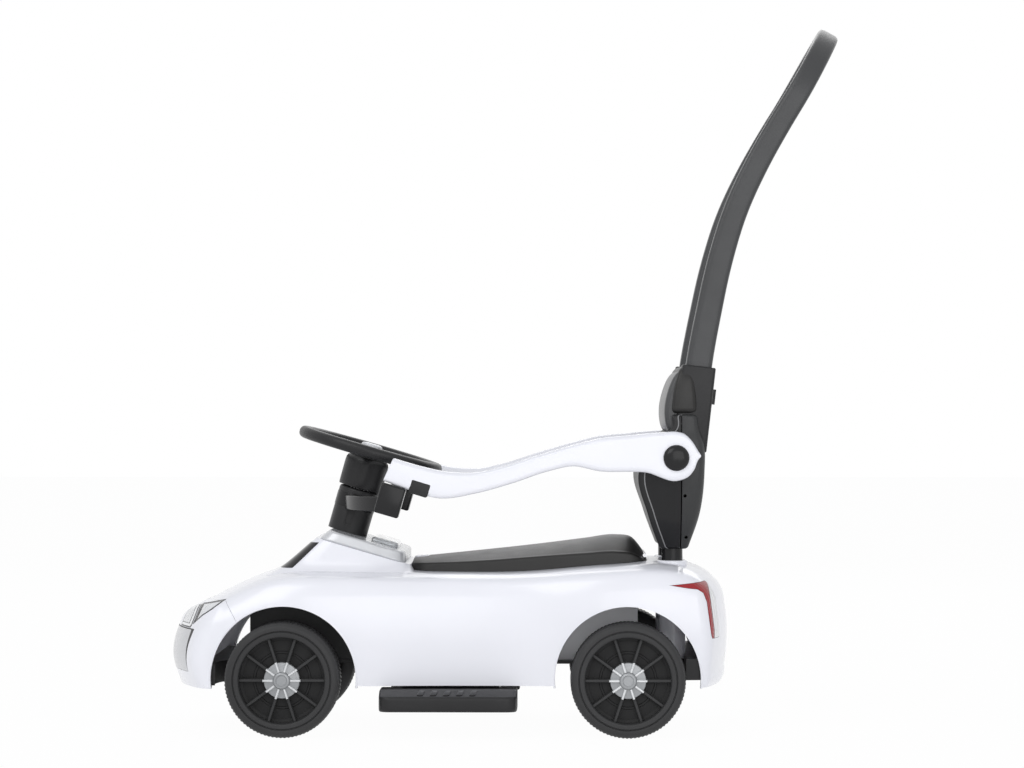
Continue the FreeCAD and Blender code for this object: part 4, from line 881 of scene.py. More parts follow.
    @staticmethod
    def end_face(y: Array, z: Array, edge: float, place: Callable[[Array, Array], Array], sign: int) -> Array:
        """Rows that roll over an end's edge, e(1 - cos a) inwards and e(1 - sin a) back, down to its foot.

        Args:
            y: Y of the end's last section.
            z: Z of the end's last section.
            edge: The edge's radius.
            place: X of the end's face from Y and Z.
            sign: 1 at the nose and -1 at the tail.

        Returns:
            The rows, from just past the section to the foot's middle.
        """
        angle = np.linspace(0, np.pi / 2, 9)[1:]
        inner = np.linspace(0, 1, 16)[1:]
        half, foot = np.max(y), np.min(z)
        tall = np.max(z) - foot
        drawn = np.concatenate([edge * (1 - np.cos(angle)), np.full(len(inner), edge)])
        closing = np.concatenate([np.ones(len(angle)), 1 - inner])
        back = np.concatenate([edge * (1 - np.sin(angle)), np.zeros(len(inner))])
        rows_y = y * ((1 - drawn / half) * closing)[:, None]
        rows_z = foot + (z - foot) * ((1 - drawn / tall) * closing)[:, None]
        rows_x = place(rows_y, rows_z) + sign * back[:, None]
        return np.stack([rows_x, rows_y, rows_z], axis=2)

    def shell(self) -> Object:
        """The whole body as a closed wall, before its openings are cut.

        Returns:
            The new object.
        """
        draft = Draft()
        draft.grid(self.surface())
        obj = draft.build("body_blank", 60)
        thicken(obj, self.wall, True)
        return obj


@dataclass
class Bodywork(Hull):
    """The hull cut for its wheels, lamps, seat and posts, with the panels that fill the openings."""

    seam: float = 0.45
    reach: float = 240.0
    arch_reach: float = 230.0
    arch_foot: float = 63.5
    nose_span: tuple = (-520.0, -398.0)
    deck_span: tuple = (150.0, 300.0)
    headlight_front: tuple = ((-403.6, 171.0), (-414, 173), (-430, 160), (-465, 150), (-465, 139.5),
                              (-415.5, 139.5), (-413.2, 142.6), (-407.4, 158))
    headlight_side: tuple = ((-367, 177.5), (-397.6, 171.2), (-402.0, 159.6), (-408.2, 146.8), (-397, 156.5),
                             (-384, 165))
    headlight_bar: tuple = ((-401.5, 170.9), (-398.2, 170.9), (-402.6, 159.4), (-409.0, 146.2),
                            (-410.0, 145.6), (-405.2, 158))
    headlight_flank: tuple = ((-367, 177.5), (-398, 171.0), (-401.7, 171.0), (-405.5, 158), (-410.6, 145.0),
                              (-397, 156.5), (-384, 165))
    headlight_inner: float = 62.0
    headlight_outer: float = 100.0
    headlight_back: float = 2.2
    headlight_gap: float = 0.2
    lamp_corner: float = 0.5
    front_trim: tuple = (0.0, 1.2)
    front_ring: tuple = (1.3, 4.4)
    front_bead: tuple = (4.5, 5.1)
    front_glass: float = 5.2
    side_trim: tuple = (0.0, 1.1)
    side_glass: float = 1.2
    strip_gap: float = 0.04
    tail_light: tuple = ((218.3, 197.5), (262, 201.5), (300, 203), (300, 128), (272, 128), (270.5, 132),
                         (264.5, 176), (260, 187.5), (252.5, 192.5), (239, 194))
    tail_red: tuple = ((210, 198), (262, 203), (266, 203), (274.6, 138), (274.6, 128), (262, 120), (210, 190))
    tail_light_inner: float = 112.0
    tail_red_inner: float = 103.0
    tail_gap: float = 0.5
    tail_corner: float = 0.8
    grille: tuple = rectangle(-121, 82, 121, 137.0)
    grille_opening: tuple = ((-121.3, 81.8), (121.3, 81.8), (129.5, 138.4), (-129.5, 138.4))
    grille_corner: float = 2.0
    grille_gap: float = 0.3
    opening_gap: float = 0.15
    hole_span: tuple = (-530.0, -390.0)
    slot_half: tuple = (29.0, 2.8)
    slot_power: float = 8.0
    slot_heights: tuple = (90.0, 129.0)
    slot_span: tuple = (-520.0, -402.0)
    slots: int = 4
    board_depth: float = 9.0
    board_wall: float = 2.0
    board_half: float = 112.0
    board_heights: tuple = (76.0, 134.0)
    panel_edge: float = 0.6
    lip_depth: float = 13.0
    lip_wall: float = 2.6
    lip_sunk: float = 0.2
    lip_corner: float = 1.0
    flank_foot: float = 0.115
    bumper_seam: tuple = ((-366.4, 176.6), (-366.0, 176.8), (-349.4, 149.1), (-349.8, 148.9))
    bumper_seam_inner: float = 120.0
    bin_mouth: tuple = rectangle(-118.5, -72.5, 176.5, 72.5)
    bin_corner: float = 6.0
    post_x: float = 222.0
    post_y: float = 66.0
    post_bore: float = 14.4
    collar: tuple = ((14.7, 96.0), (17.4, 96.0), (17.6, 98.0), (17.6, 214.0), (19.6, 218.0), (20.4, 223.0),
                     (19.8, 225.6), (18.2, 226.6), (16.0, 226.4), (14.9, 225.2), (14.7, 223.0), (14.7, 96.0))

    def openings(self) -> Draft:
        """Every opening of the body: arches, lamps, seams, posts, bin and grille.

        Returns:
            One draft of them all.
        """
        draft = Draft()
        ring = oval(self.arch_radius, self.arch_radius, 2, 120)
        for end in End:
            arch = ring + (end.value, self.axle_height)
            draft.closed(prism(arch, Axis.Y, -self.arch_reach, self.arch_reach))
        lamps = (
            (self.headlight_front, self.headlight_inner),
            (self.headlight_flank, self.headlight_outer),
            (self.tail_light, self.tail_light_inner),
        )
        for side in Side:
            reach = self.reach * side.value
            for corners, inner in lamps:
                outline = rounded(grown(corners, self.seam), self.lamp_corner, 4)
                draft.closed(prism(outline, Axis.Y, (inner - self.seam) * side.value, reach))
            seam = np.array(self.bumper_seam, float)
            draft.closed(prism(seam, Axis.Y, self.bumper_seam_inner * side.value, reach))
            bore = oval(self.post_bore, self.post_bore, 2, 40) + (self.post_x, self.post_y * side.value)
            draft.closed(prism(bore, Axis.Z, *self.deck_span))
        draft.closed(prism(rounded(self.bin_mouth, self.bin_corner), Axis.Z, *self.deck_span))
        opening = inset(rounded(self.grille_opening, self.grille_corner), -self.opening_gap)
        draft.closed(prism(opening, Axis.X, *self.nose_span))
        return draft

    @staticmethod
    def panel(blank: Object, name: str, draft: Draft, keep: Cut = Cut.INSIDE) -> Object:
        """A piece of the body's own wall inside or outside a draft.

        Args:
            blank: The wall.
            name: The piece's name.
            draft: The tool's shape.
            keep: Which side of it is kept.

        Returns:
            The piece.
        """
        obj = copied(blank, name)
        carve(obj, draft, keep)
        return obj

    def crossed(self, corners: tuple, side: Side, inner: float, grow: float = 0.0) -> Draft:
        """A draft with one prism across a side of the body, its outline grown by a little."""
        outline = rounded(grown(corners, grow), self.tail_corner, 4)
        return Draft.of(prism(outline, Axis.Y, inner * side.value, self.reach * side.value))

    def border(self, draft: Draft, corners: tuple, start: float, span: tuple, edges: Sequence[int]) -> None:
        """Add a frame to a draft: one prism along each edge of an outline, between two insets of it.

        Args:
            draft: The draft that gets the prisms.
            corners: The outline's corners in X and Z.
            start: Where the prisms begin along Y, on their own side of the car.
            span: How far inside the outline the frame begins and ends.
            edges: The edges that get a prism, by their first corner.
        """
        wide, narrow = (grown(corners, -amount) for amount in span)
        for here in edges:
            after = (here + 1) % len(corners)
            strip = grown((wide[here], wide[after], narrow[after], narrow[here]), -self.strip_gap)
            draft.closed(prism(strip, Axis.Y, start, math.copysign(self.reach, start)))

    def headlights(self, blank: Object) -> None:
        """Each headlight: dark trim round two windows, a bright ring in one, ribbed glass and a dark bar.

        Args:
            blank: The body's whole wall.
        """
        front, flank = self.headlight_front, self.headlight_side
        for side in Side:
            low = self.headlight_inner * side.value
            deep = (self.headlight_inner + self.headlight_back) * side.value
            outer = self.headlight_outer * side.value
            reach = self.reach * side.value
            ring = Draft()
            back = rounded(front, self.lamp_corner, 4)
            trim = Draft.of(prism(back, Axis.Y, low, deep - self.headlight_gap * side.value))
            self.border(trim, front, deep, self.front_trim, range(2, 8))
            self.border(ring, front, deep, self.front_trim, range(2))
            self.border(trim, flank, outer, self.side_trim, range(6))
            self.border(ring, front, deep, self.front_ring, range(8))
            self.border(trim, front, deep, self.front_bead, range(8))
            bar = Draft.of(prism(np.array(self.headlight_bar, float), Axis.Y, outer, reach))
            glass = Draft.of(prism(grown(front, -self.front_glass), Axis.Y, deep, reach))
            glass.closed(prism(grown(flank, -self.side_glass), Axis.Y, outer, reach))
            for draft, name, finish, slot, *nodes in (
                (trim, "trim", "lamp_trim", "gloss_black"),
                (ring, "ring", "lamp_chrome", "silver"),
                (bar, "bar", "black_gloss", "gloss_black"),
                (glass, "glass", "lamp_glass", "lens_clear", f"headlight_{side.word}"),
            ):
                piece = self.panel(blank, f"headlight_{name}_{side.word}", draft)
                self.finish(piece, "body", finish, slot, *nodes)

    def tail_lights(self, blank: Object) -> None:
        """Each tail light: a red hook on the flank and a clear lens behind it round the corner.

        Args:
            blank: The body's whole wall.
        """
        for side in Side:
            lamp = self.crossed(self.tail_light, side, self.tail_light_inner)
            whole = self.panel(blank, "tail_light_whole", lamp)
            hook = self.crossed(self.tail_red, side, self.tail_red_inner)
            rest = self.crossed(self.tail_red, side, self.tail_red_inner, self.tail_gap)
            red = self.panel(whole, f"tail_light_red_{side.word}", hook)
            clear = self.panel(whole, f"tail_light_clear_{side.word}", rest, Cut.OUTSIDE)
            discard(whole)
            for obj in (red, clear):
                soften(obj, self.panel_edge, 45)
            self.finish(red, "body", "lamp_red", "lens_red", f"tail_light_{side.word}")
            self.finish(clear, "body", "lamp_glass", "lens_clear")

    def front_grille(self, blank: Object) -> None:
        """The grille: a silver panel of the nose's own shape with level slots, in a dark surround of painted
        groove shade.

        Args:
            blank: The body's whole wall.
        """
        outline = rounded(self.grille, self.grille_corner)
        opening = rounded(self.grille_opening, self.grille_corner)
        obj = self.panel(blank, "grille_panel", Draft.of(prism(outline, Axis.X, *self.nose_span)))
        whole = self.panel(blank, "groove_shade_whole", Draft.of(prism(opening, Axis.X, *self.nose_span)))
        hole = Draft.of(prism(inset(outline, -self.grille_gap), Axis.X, *self.hole_span))
        # painted shade: a flush piece of the nose's wall dressed black, standing for the shadowed groove
        # round the grille
        surround = self.panel(whole, "grille_surround", hole, Cut.OUTSIDE)
        discard(whole)
        slot = oval(*self.slot_half, self.slot_power, 48)
        heights = np.linspace(*self.slot_heights, self.slots)
        carve(obj, Draft.of(*(prism(slot + (0, height), Axis.X, *self.slot_span) for height in heights)))
        soften(obj, self.panel_edge, 45)
        self.finish(obj, "body", "grille_silver", "silver", "front_grille")
        # the surround's black is painted shade for the groove
        self.finish(surround, "body", "black_satin", "gloss_black")

    def grille_back(self) -> None:
        """Painted shade behind the grille: a dark sheet bowed as the nose is, x = nose + b (y / reach)^2 +
        gap.
        """
        y = np.linspace(-self.board_half, self.board_half, 40)
        z = np.linspace(*self.board_heights, 16)[:, None]
        sheet = np.stack(np.broadcast_arrays(self.nose_x(y, z) + self.board_depth, y, z), axis=2)
        draft = Draft()
        draft.grid(np.concatenate([sheet, sheet[::-1] + (self.board_wall, 0, 0), sheet[:1]]))
        # painted shade: the sheet stands for the shade inside the nose, seen through the grille's slots
        self.finish(draft.build("grille_board"), "body", "black_satin", "black_plastic")

    def post_collars(self) -> None:
        """The white tubes that hold the backrest's posts: a collar on the deck and a socket below it."""
        draft = Draft()
        for side in Side:
            draft.grid(turned(self.collar, 64) + (self.post_x, self.post_y * side.value, 0), True)
        self.finish(draft.build("post_collars"), "body", "white_gloss", "body_white")

    def arch_lips(self) -> None:
        """A turned-in flange round each wheel opening: a thin strip swept along the arch on the flank."""
        draft = Draft()
        strip = rounded(rectangle(0, 0, self.lip_depth, self.lip_wall), self.lip_corner, 4)
        foot = math.asin((self.arch_foot - self.axle_height) / self.arch_radius)
        angle = np.linspace(foot, np.pi - foot, 72)
        radial = np.stack([np.cos(angle), 0 * angle, np.sin(angle)], axis=1)
        z = self.axle_height + self.arch_radius * np.sin(angle)
        for end in End:
            x = end.value + self.arch_radius * np.cos(angle)
            for side in Side:
                path = np.stack([x, side.value * (self.flank(x, z) - self.lip_sunk), z], axis=1)
                draft.closed(swept(path, strip, (0, -side.value, 0), radial))
        self.finish(draft.build("arch_lips"), "body", "white_gloss", "body_white")

    def flank(self, x: Array, z: Array) -> Array:
        """Half width of the flank at X and Z, below the shoulder."""
        line = np.array([(1 - self.tuck, self.flank_foot), *self.shoulder])
        return self.width(x) * np.interp(z / self.crown(x), line[:, 1], line[:, 0])

    def build(self) -> None:
        """Build the body and its panels."""
        blank = self.shell()
        self.headlights(blank)
        self.tail_lights(blank)
        self.front_grille(blank)
        self.grille_back()
        self.post_collars()
        body = copied(blank, "body_skin")
        carve(body, self.openings(), angle=36)
        discard(blank)
        self.finish(body, "body", "white_gloss", "body_white", "body_shell")
        self.arch_lips()


@dataclass
class Wheel(Builder):
    """One plastic wheel: treaded tyre, ringed rim, ten-spoked dish and a ribbed hub cap."""

    end: End = End.FRONT
    side: Side = Side.LEFT
    radius: float = 75.0
    tooth_depth: float = 1.7
    teeth: int = 90
    spokes: int = 10
    steps: int = 900
    tooth_steep: float = 3.0
    tooth_bias: float = 1.2
    tooth_slant: float = 0.11
    tooth_slant_reach: float = 30.0
    groove_half: float = 0.5
    groove_share: float = 0.9
    shoulder_half: float = 20.2
    shoulder_share: float = 0.41
    rim: tuple = ((74.3, 173.0), (73.9, 175.4), (72.4, 177.7), (69.8, 179.3), (67.6, 180.0), (65.0, 180.0),
                  (64.4, 179.5), (63.9, 178.3), (63.4, 178.3), (62.9, 179.5), (62.3, 180.0), (58.2, 180.0),
                  (57.2, 179.7), (56.5, 178.9), (56.0, 177.6), (55.2, 168.0), (55.2, 160.2),
                  (56.0, 159.2), (57.0, 157.0))
    back: tuple = ((57.0, 157.0), (57.0, 128.0), (58.0, 126.0), (60.0, 125.0), (66.0, 125.0), (70.5, 125.8),
                   (73.0, 128.0), (74.0, 130.0), (74.3, 132.0))
    dish: tuple = ((13.0, 160.4), (55.6, 160.4), (55.6, 166.4), (52.0, 166.0), (51.0, 165.2), (38.0, 165.2),
                   (37.2, 166.4), (35.0, 166.4), (34.2, 165.2), (13.0, 165.2), (13.0, 160.4))
    cap: tuple = ((23.5, 165.8), (23.5, 173.0), (23.0, 174.4), (21.6, 175.0), (12.6, 175.0), (11.6, 175.6),
                  (11.0, 178.0), (10.2, 179.2), (8.6, 179.9), (7.6, 179.9), (7.0, 179.2), (6.4, 178.6),
                  (0.02, 178.6))
    spoke_rib: tuple = (14.0, 55.6, 2.5, 165.0, 174.6)
    hub_rib: tuple = (11.4, 24.6, 1.7, 173.0, 179.2)
    tread_middle: float = 152.5
    tread_rows: tuple = (132.0, 132.6, 137.0, 142.0, 147.0, 151.4, 152.5, 153.6, 158.0, 163.0, 168.0,
                         172.4, 173.0)

    def place(self, points: Array) -> Array:
        """Carry local points to the wheel: u along X, v up and w outwards from the car's middle."""
        return beside(points, self.end.value, self.radius, self.side)

    def tread(self) -> Array:
        """The tread: r = R - d m(a, w), where m is a steep wave of the angle, slanted from each shoulder.

        Returns:
            A grid of rows across the tyre by steps round it.
        """
        across = np.array(self.tread_rows)[:, None]
        angle = np.linspace(0, 2 * np.pi, self.steps, endpoint=False)
        from_middle = np.abs(across - self.tread_middle)
        slanted = angle + self.tooth_slant * (from_middle / self.tooth_slant_reach)
        wave = np.tanh(self.tooth_steep * np.sin(self.teeth * slanted) + self.tooth_bias)
        cut = np.where(from_middle < self.groove_half, self.groove_share, 0.5 - 0.5 * wave)
        cut = np.where(from_middle > self.shoulder_half, self.shoulder_share, cut)
        radius = self.radius - self.tooth_depth * cut
        return np.stack(np.broadcast_arrays(radius * np.cos(angle), radius * np.sin(angle), across), axis=2)

    @staticmethod
    def ridge(start: float, end: float, half: float, foot: float, top: float) -> Array:
        """A rounded rib along u: its section is half an oval from its foot to its top.

        Args:
            start: Where it begins along u.
            end: Where it ends along u.
            half: Half its width.
            foot: Its foot along w.
            top: Its top along w.

        Returns:
            A grid of stations by points over the section.
        """
        along = np.linspace(start, end, 10)[:, None]
        angle = np.linspace(0, np.pi, 11)
        v = half * np.sign(np.cos(angle)) * np.abs(np.cos(angle)) ** 0.5
        w = foot + (top - foot) * np.abs(np.sin(angle)) ** 0.5
        return np.stack(np.broadcast_arrays(along, v, w), axis=2)

    def build(self) -> None:
        """Build the wheel and its hub cap."""
        where = f"{self.end.word}_{self.side.word}"
        name = f"{self.end.word}_wheel_{self.side.word}"
        tyre, dish, cap, ribs = Draft(), Draft(), Draft(), Draft()
        for shape in (turned(self.back, self.steps), self.tread(), turned(self.rim, self.steps)):
            tyre.grid(self.place(shape), True)
        dish.grid(self.place(turned(self.dish, 200)), True)
        cap.grid(self.place(turned(self.cap, 96)), True, True)
        for draft, sizes in ((tyre, self.spoke_rib), (ribs, self.hub_rib)):
            for rib in spun(self.ridge(*sizes), self.spokes, np.pi / 2 + np.pi / self.spokes):
                draft.grid(self.place(rib), False, True, True)
        for draft, kind, finish, slot, *nodes in (
            (tyre, "tyre", "black_wheel", "wheel_black", name),
            # the dish's darker black is painted shade between the spokes
            (dish, "dish", "black_dish", "wheel_black"),
            (cap, "hub_cap", "hub_grey", "hub_grey", f"{self.end.word}_hub_cap_{self.side.word}"),
            # the ribs' light grey is painted highlight on the hub cap's own grey
            (ribs, "hub_ribs", "hub_rib", "hub_grey"),
        ):
            self.finish(draft.build(f"{kind}_{where}", 38), name, finish, slot, *nodes)


@dataclass
class Column(Builder):
    """The steering column's frame, shared by the cowl's dash, the wheel and the guard's bracket."""

    x: float = -184.0
    z: float = 371.5
    tilt: float = 16.0

    def place(self, points: Array) -> Array:
        """Carry local points to the column: u to the rear, v to the right and w up along the shaft."""
        return on_axis(points, self.x, self.z, self.tilt)

    def level(self, points: Array) -> Array:
        """How far along the shaft each point lies."""
        tilt = math.radians(self.tilt)
        return (points[..., 0] - self.x) * math.sin(tilt) + (points[..., 2] - self.z) * math.cos(tilt)


@dataclass
class Cowl(Column):
    """The raised scuttle with its windscreen, the silver dash plate on it and the dash's clear lens."""

    base: tuple = rectangle(-327, -116, -127, 116)
    top: tuple = rectangle(-220, -84, -127, 84)
    base_height: float = 190.0
    top_height: float = 285.0
    corner: float = 30.0
    top_corner: float = 24.0
    start: float = 0.12
    trim: float = -128.6
    dash_top: float = -114.6
    flare: float = 10.0
    flare_foot: float = 209.0
    flare_fade: float = 6.5
    plate_sunk: float = 0.5
    plate_inset: float = 5.5
    plate_edge: float = 4.5
    foot_edge: float = 2.2
    window: tuple = rectangle(36, -48, 74, 48)
    window_corner: float = 12.0
    lens_sunk: float = 2.0
    lens_proud: float = 6.5
    lens_edge: float = 5.0
    lens_crisp: float = 32.0
    screen_wall: float = 2.4
    screen_proud: float = 0.9
    screen_edge: float = 0.6
    screen_rear: float = -296.0
    screen_span: tuple = (218.0, 251.0)
    count: int = 200

    def wall(self, low: float, high: float, rows: int, spread: float = 0.0, flared: bool = True) -> Array:
        """Ruled lines from the base outline to the top outline, kept between two levels along the shaft.

        Args:
            low: The lowest share of each line, or the lower level along the shaft when below zero.
            high: The upper level along the shaft.
            rows: How many rows the grid has.
            spread: How far the wall is moved outwards.
            flared: Whether the foot sweeps out onto the deck.

        Returns:
            A grid of rows by points round the cowl.
        """
        base = inset(evenly(rounded(self.base, self.corner, 16), self.count), -spread)
        top = inset(evenly(rounded(self.top, self.top_corner, 16), self.count), -spread)
        start = np.column_stack([base, np.full(self.count, self.base_height)])
        end = np.column_stack([top, np.full(self.count, self.top_height)])
        low_level, high_level = self.level(start), self.level(end)
        last = (high - low_level) / (high_level - low_level)
        first = (low - low_level) / (high_level - low_level) if low < 0 else np.full(self.count, low)
        share = first + (last - first) * np.linspace(0, 1, rows)[:, None]
        grid = start + (end - start) * share[..., None]
        if flared:
            sweep = self.flare * np.exp(-np.maximum(grid[..., 2] - self.flare_foot, 0) / self.flare_fade)
            normal = base - inset(base, 1.0)
            grid[..., :2] += sweep[..., None] * normal
        return grid

    def build(self) -> None:
        """Build the cowl, its windscreen, the dash plate and the lens."""
        draft = Draft()
        draft.grid(self.wall(self.start, self.trim, 40), True, False, True)
        cowl = draft.build("cowl_skin")
        soften(cowl, self.foot_edge, 40, 3)
        self.finish(cowl, "body", "white_gloss", "body_white")
        wall = self.wall(self.trim - self.plate_sunk, self.dash_top, 6, -self.plate_inset, False)
        plate = Draft.of(wall).build("dash_skin")
        soften(plate, self.plate_edge, 40, 4)
        self.finish(plate, "body", "dash_silver", "silver", "dash_plate")
        window = rounded(self.window, self.window_corner)
        low, high = self.dash_top - self.lens_sunk, self.dash_top + self.lens_proud
        rings = self.place(slab(window, low, high, self.lens_edge, 9))
        lens = Draft.of(rings).build("dash_window", self.lens_crisp)
        self.finish(lens, "body", "lamp_clear", "lens_clear", "dash_lens")
        self.windscreen()

    def windscreen(self) -> None:
        """The dark screen: the cowl's front wall and its corners, a little proud, between two heights."""
        grid = self.wall(self.start, self.trim, 60, self.screen_proud)
        front = np.where(grid[0, :, 0] < self.screen_rear)[0]
        order = np.concatenate([front[front >= self.count // 2], front[front < self.count // 2]])
        heights = np.linspace(*self.screen_span, 14)
        rows = [[np.interp(heights, grid[:, column, 2], grid[:, column, axis]) for axis in range(3)]
                for column in order]
        draft = Draft()
        draft.grid(np.transpose(rows, (2, 0, 1)))
        obj = draft.build("windscreen_pane")
        thicken(obj, self.screen_wall)
        polish(obj)
        soften(obj, self.screen_edge, 45)
        self.finish(obj, "body", "black_gloss", "gloss_black", "windscreen")


@dataclass
class Steering(Column):
    """The steering wheel on its hub, the horn button in the middle and the housing below."""

    rim_radius: float = 92.0
    grip: float = 8.0
    grip_power: float = 2.3
    spoke_root: float = 18.0
    spoke_half: tuple = (9.2, 4.4)
    spoke_power: float = 3.4
    spoke_dish: float = 3.2
    spoke_flare: float = 0.28
    sleeve_wall: float = 5.0
    slot: tuple = rectangle(-6, -104, 4, -62)
    slot_corner: float = 3.5
    slot_span: tuple = (24.6, 40.0)
    hub: tuple = ((25.0, -53.0), (28.8, -53.0), (29.4, -51.8), (29.6, -44.0), (29.8, -22.0), (29.4, -16.0),
                  (28.0, -12.6), (26.0, -11.0))
    middle: tuple = ((26.0, -12.0), (26.4, -6.0), (26.4, -1.0), (25.4, 2.4), (22.8, 4.2), (18.0, 4.9),
                     (16.0, 4.6), (15.2, 3.4), (15.2, 1.0))
    button: tuple = ((14.4, 0.5), (14.4, 6.4), (13.8, 7.8), (12.2, 8.8), (8.0, 9.4), (0.02, 9.5))
    housing: tuple = ((27.0, -114.4), (27.0, -58.0), (26.6, -56.0), (25.6, -54.8), (24.0, -54.2))

    def spoke(self, angle: float) -> Array:
        """A spoke from the hub to the rim: an oval that widens at both ends along a slightly dished line.

        Args:
            angle: The spoke's direction about the shaft.

        Returns:
            A grid of stations by points round each.
        """
        along = np.linspace(self.spoke_root, self.rim_radius, 18)
        out, length = along - self.spoke_root, self.rim_radius - self.spoke_root
        dish = -self.spoke_dish * np.sin(np.pi * out / length)
        path = np.stack([along * math.cos(angle), along * math.sin(angle), dish], axis=1)
        waist = 1 + self.spoke_flare * (2 * out / length - 1) ** 2
        across = (-math.sin(angle), math.cos(angle), 0.0)
        section = oval(*self.spoke_half, self.spoke_power, 28)
        return swept(path, section, across, (0, 0, 1), waist)

    def rim(self) -> Array:
        """The rim: a rounded grip, nearly an ellipse in section, carried round the hub.

        Returns:
            A grid of steps round the hub, the first one again at the end, by points round the grip.
        """
        angle = np.linspace(0, 2 * np.pi, 160, endpoint=False)
        radial = np.stack([np.cos(angle), np.sin(angle), 0 * angle], axis=1)
        section = oval(self.grip, self.grip, self.grip_power, 28)
        grid = swept(self.rim_radius * radial, section, radial, (0, 0, 1))
        return np.concatenate([grid, grid[:1]])

    def build(self) -> None:
        """Build the wheel, its hub, the horn and the housing."""
        wheel, hub, horn, housing = Draft(), Draft(), Draft(), Draft()
        wheel.grid(self.place(self.rim()), True)
        for angle in (0.0, np.pi / 2, -np.pi / 2):
            wheel.closed(self.place(self.spoke(angle)))
        wheel.closed(self.place(turned(self.middle, 96)))
        hub.grid(self.place(turned(self.hub, 96)), True, False, True)
        horn.grid(self.place(turned(self.button, 72)), True, True, False)
        for draft, name, body, finish, slot, node in (
            (wheel, "steering_grip", "steering", "black_satin", "black_plastic", "steering_wheel"),
            (hub, "steering_boss", "steering", "black_satin", "black_plastic", "steering_hub"),
            (horn, "horn_cap", "horn", "button_pale", "silver", "horn_button"),
        ):
            self.finish(draft.build(name), body, finish, slot, node)
        housing.grid(self.place(turned(self.housing, 120)), True)
        sleeve = housing.build("column_sleeve")
        thicken(sleeve, self.sleeve_wall)
        slot = rounded(self.slot, self.slot_corner)
        slots = (prism(slot, Axis.Y, *(level * side.value for level in self.slot_span)) for side in Side)
        carve(sleeve, Draft.of(*map(self.place, slots)))
        self.finish(sleeve, "body", "black_satin", "black_plastic", "column_housing")


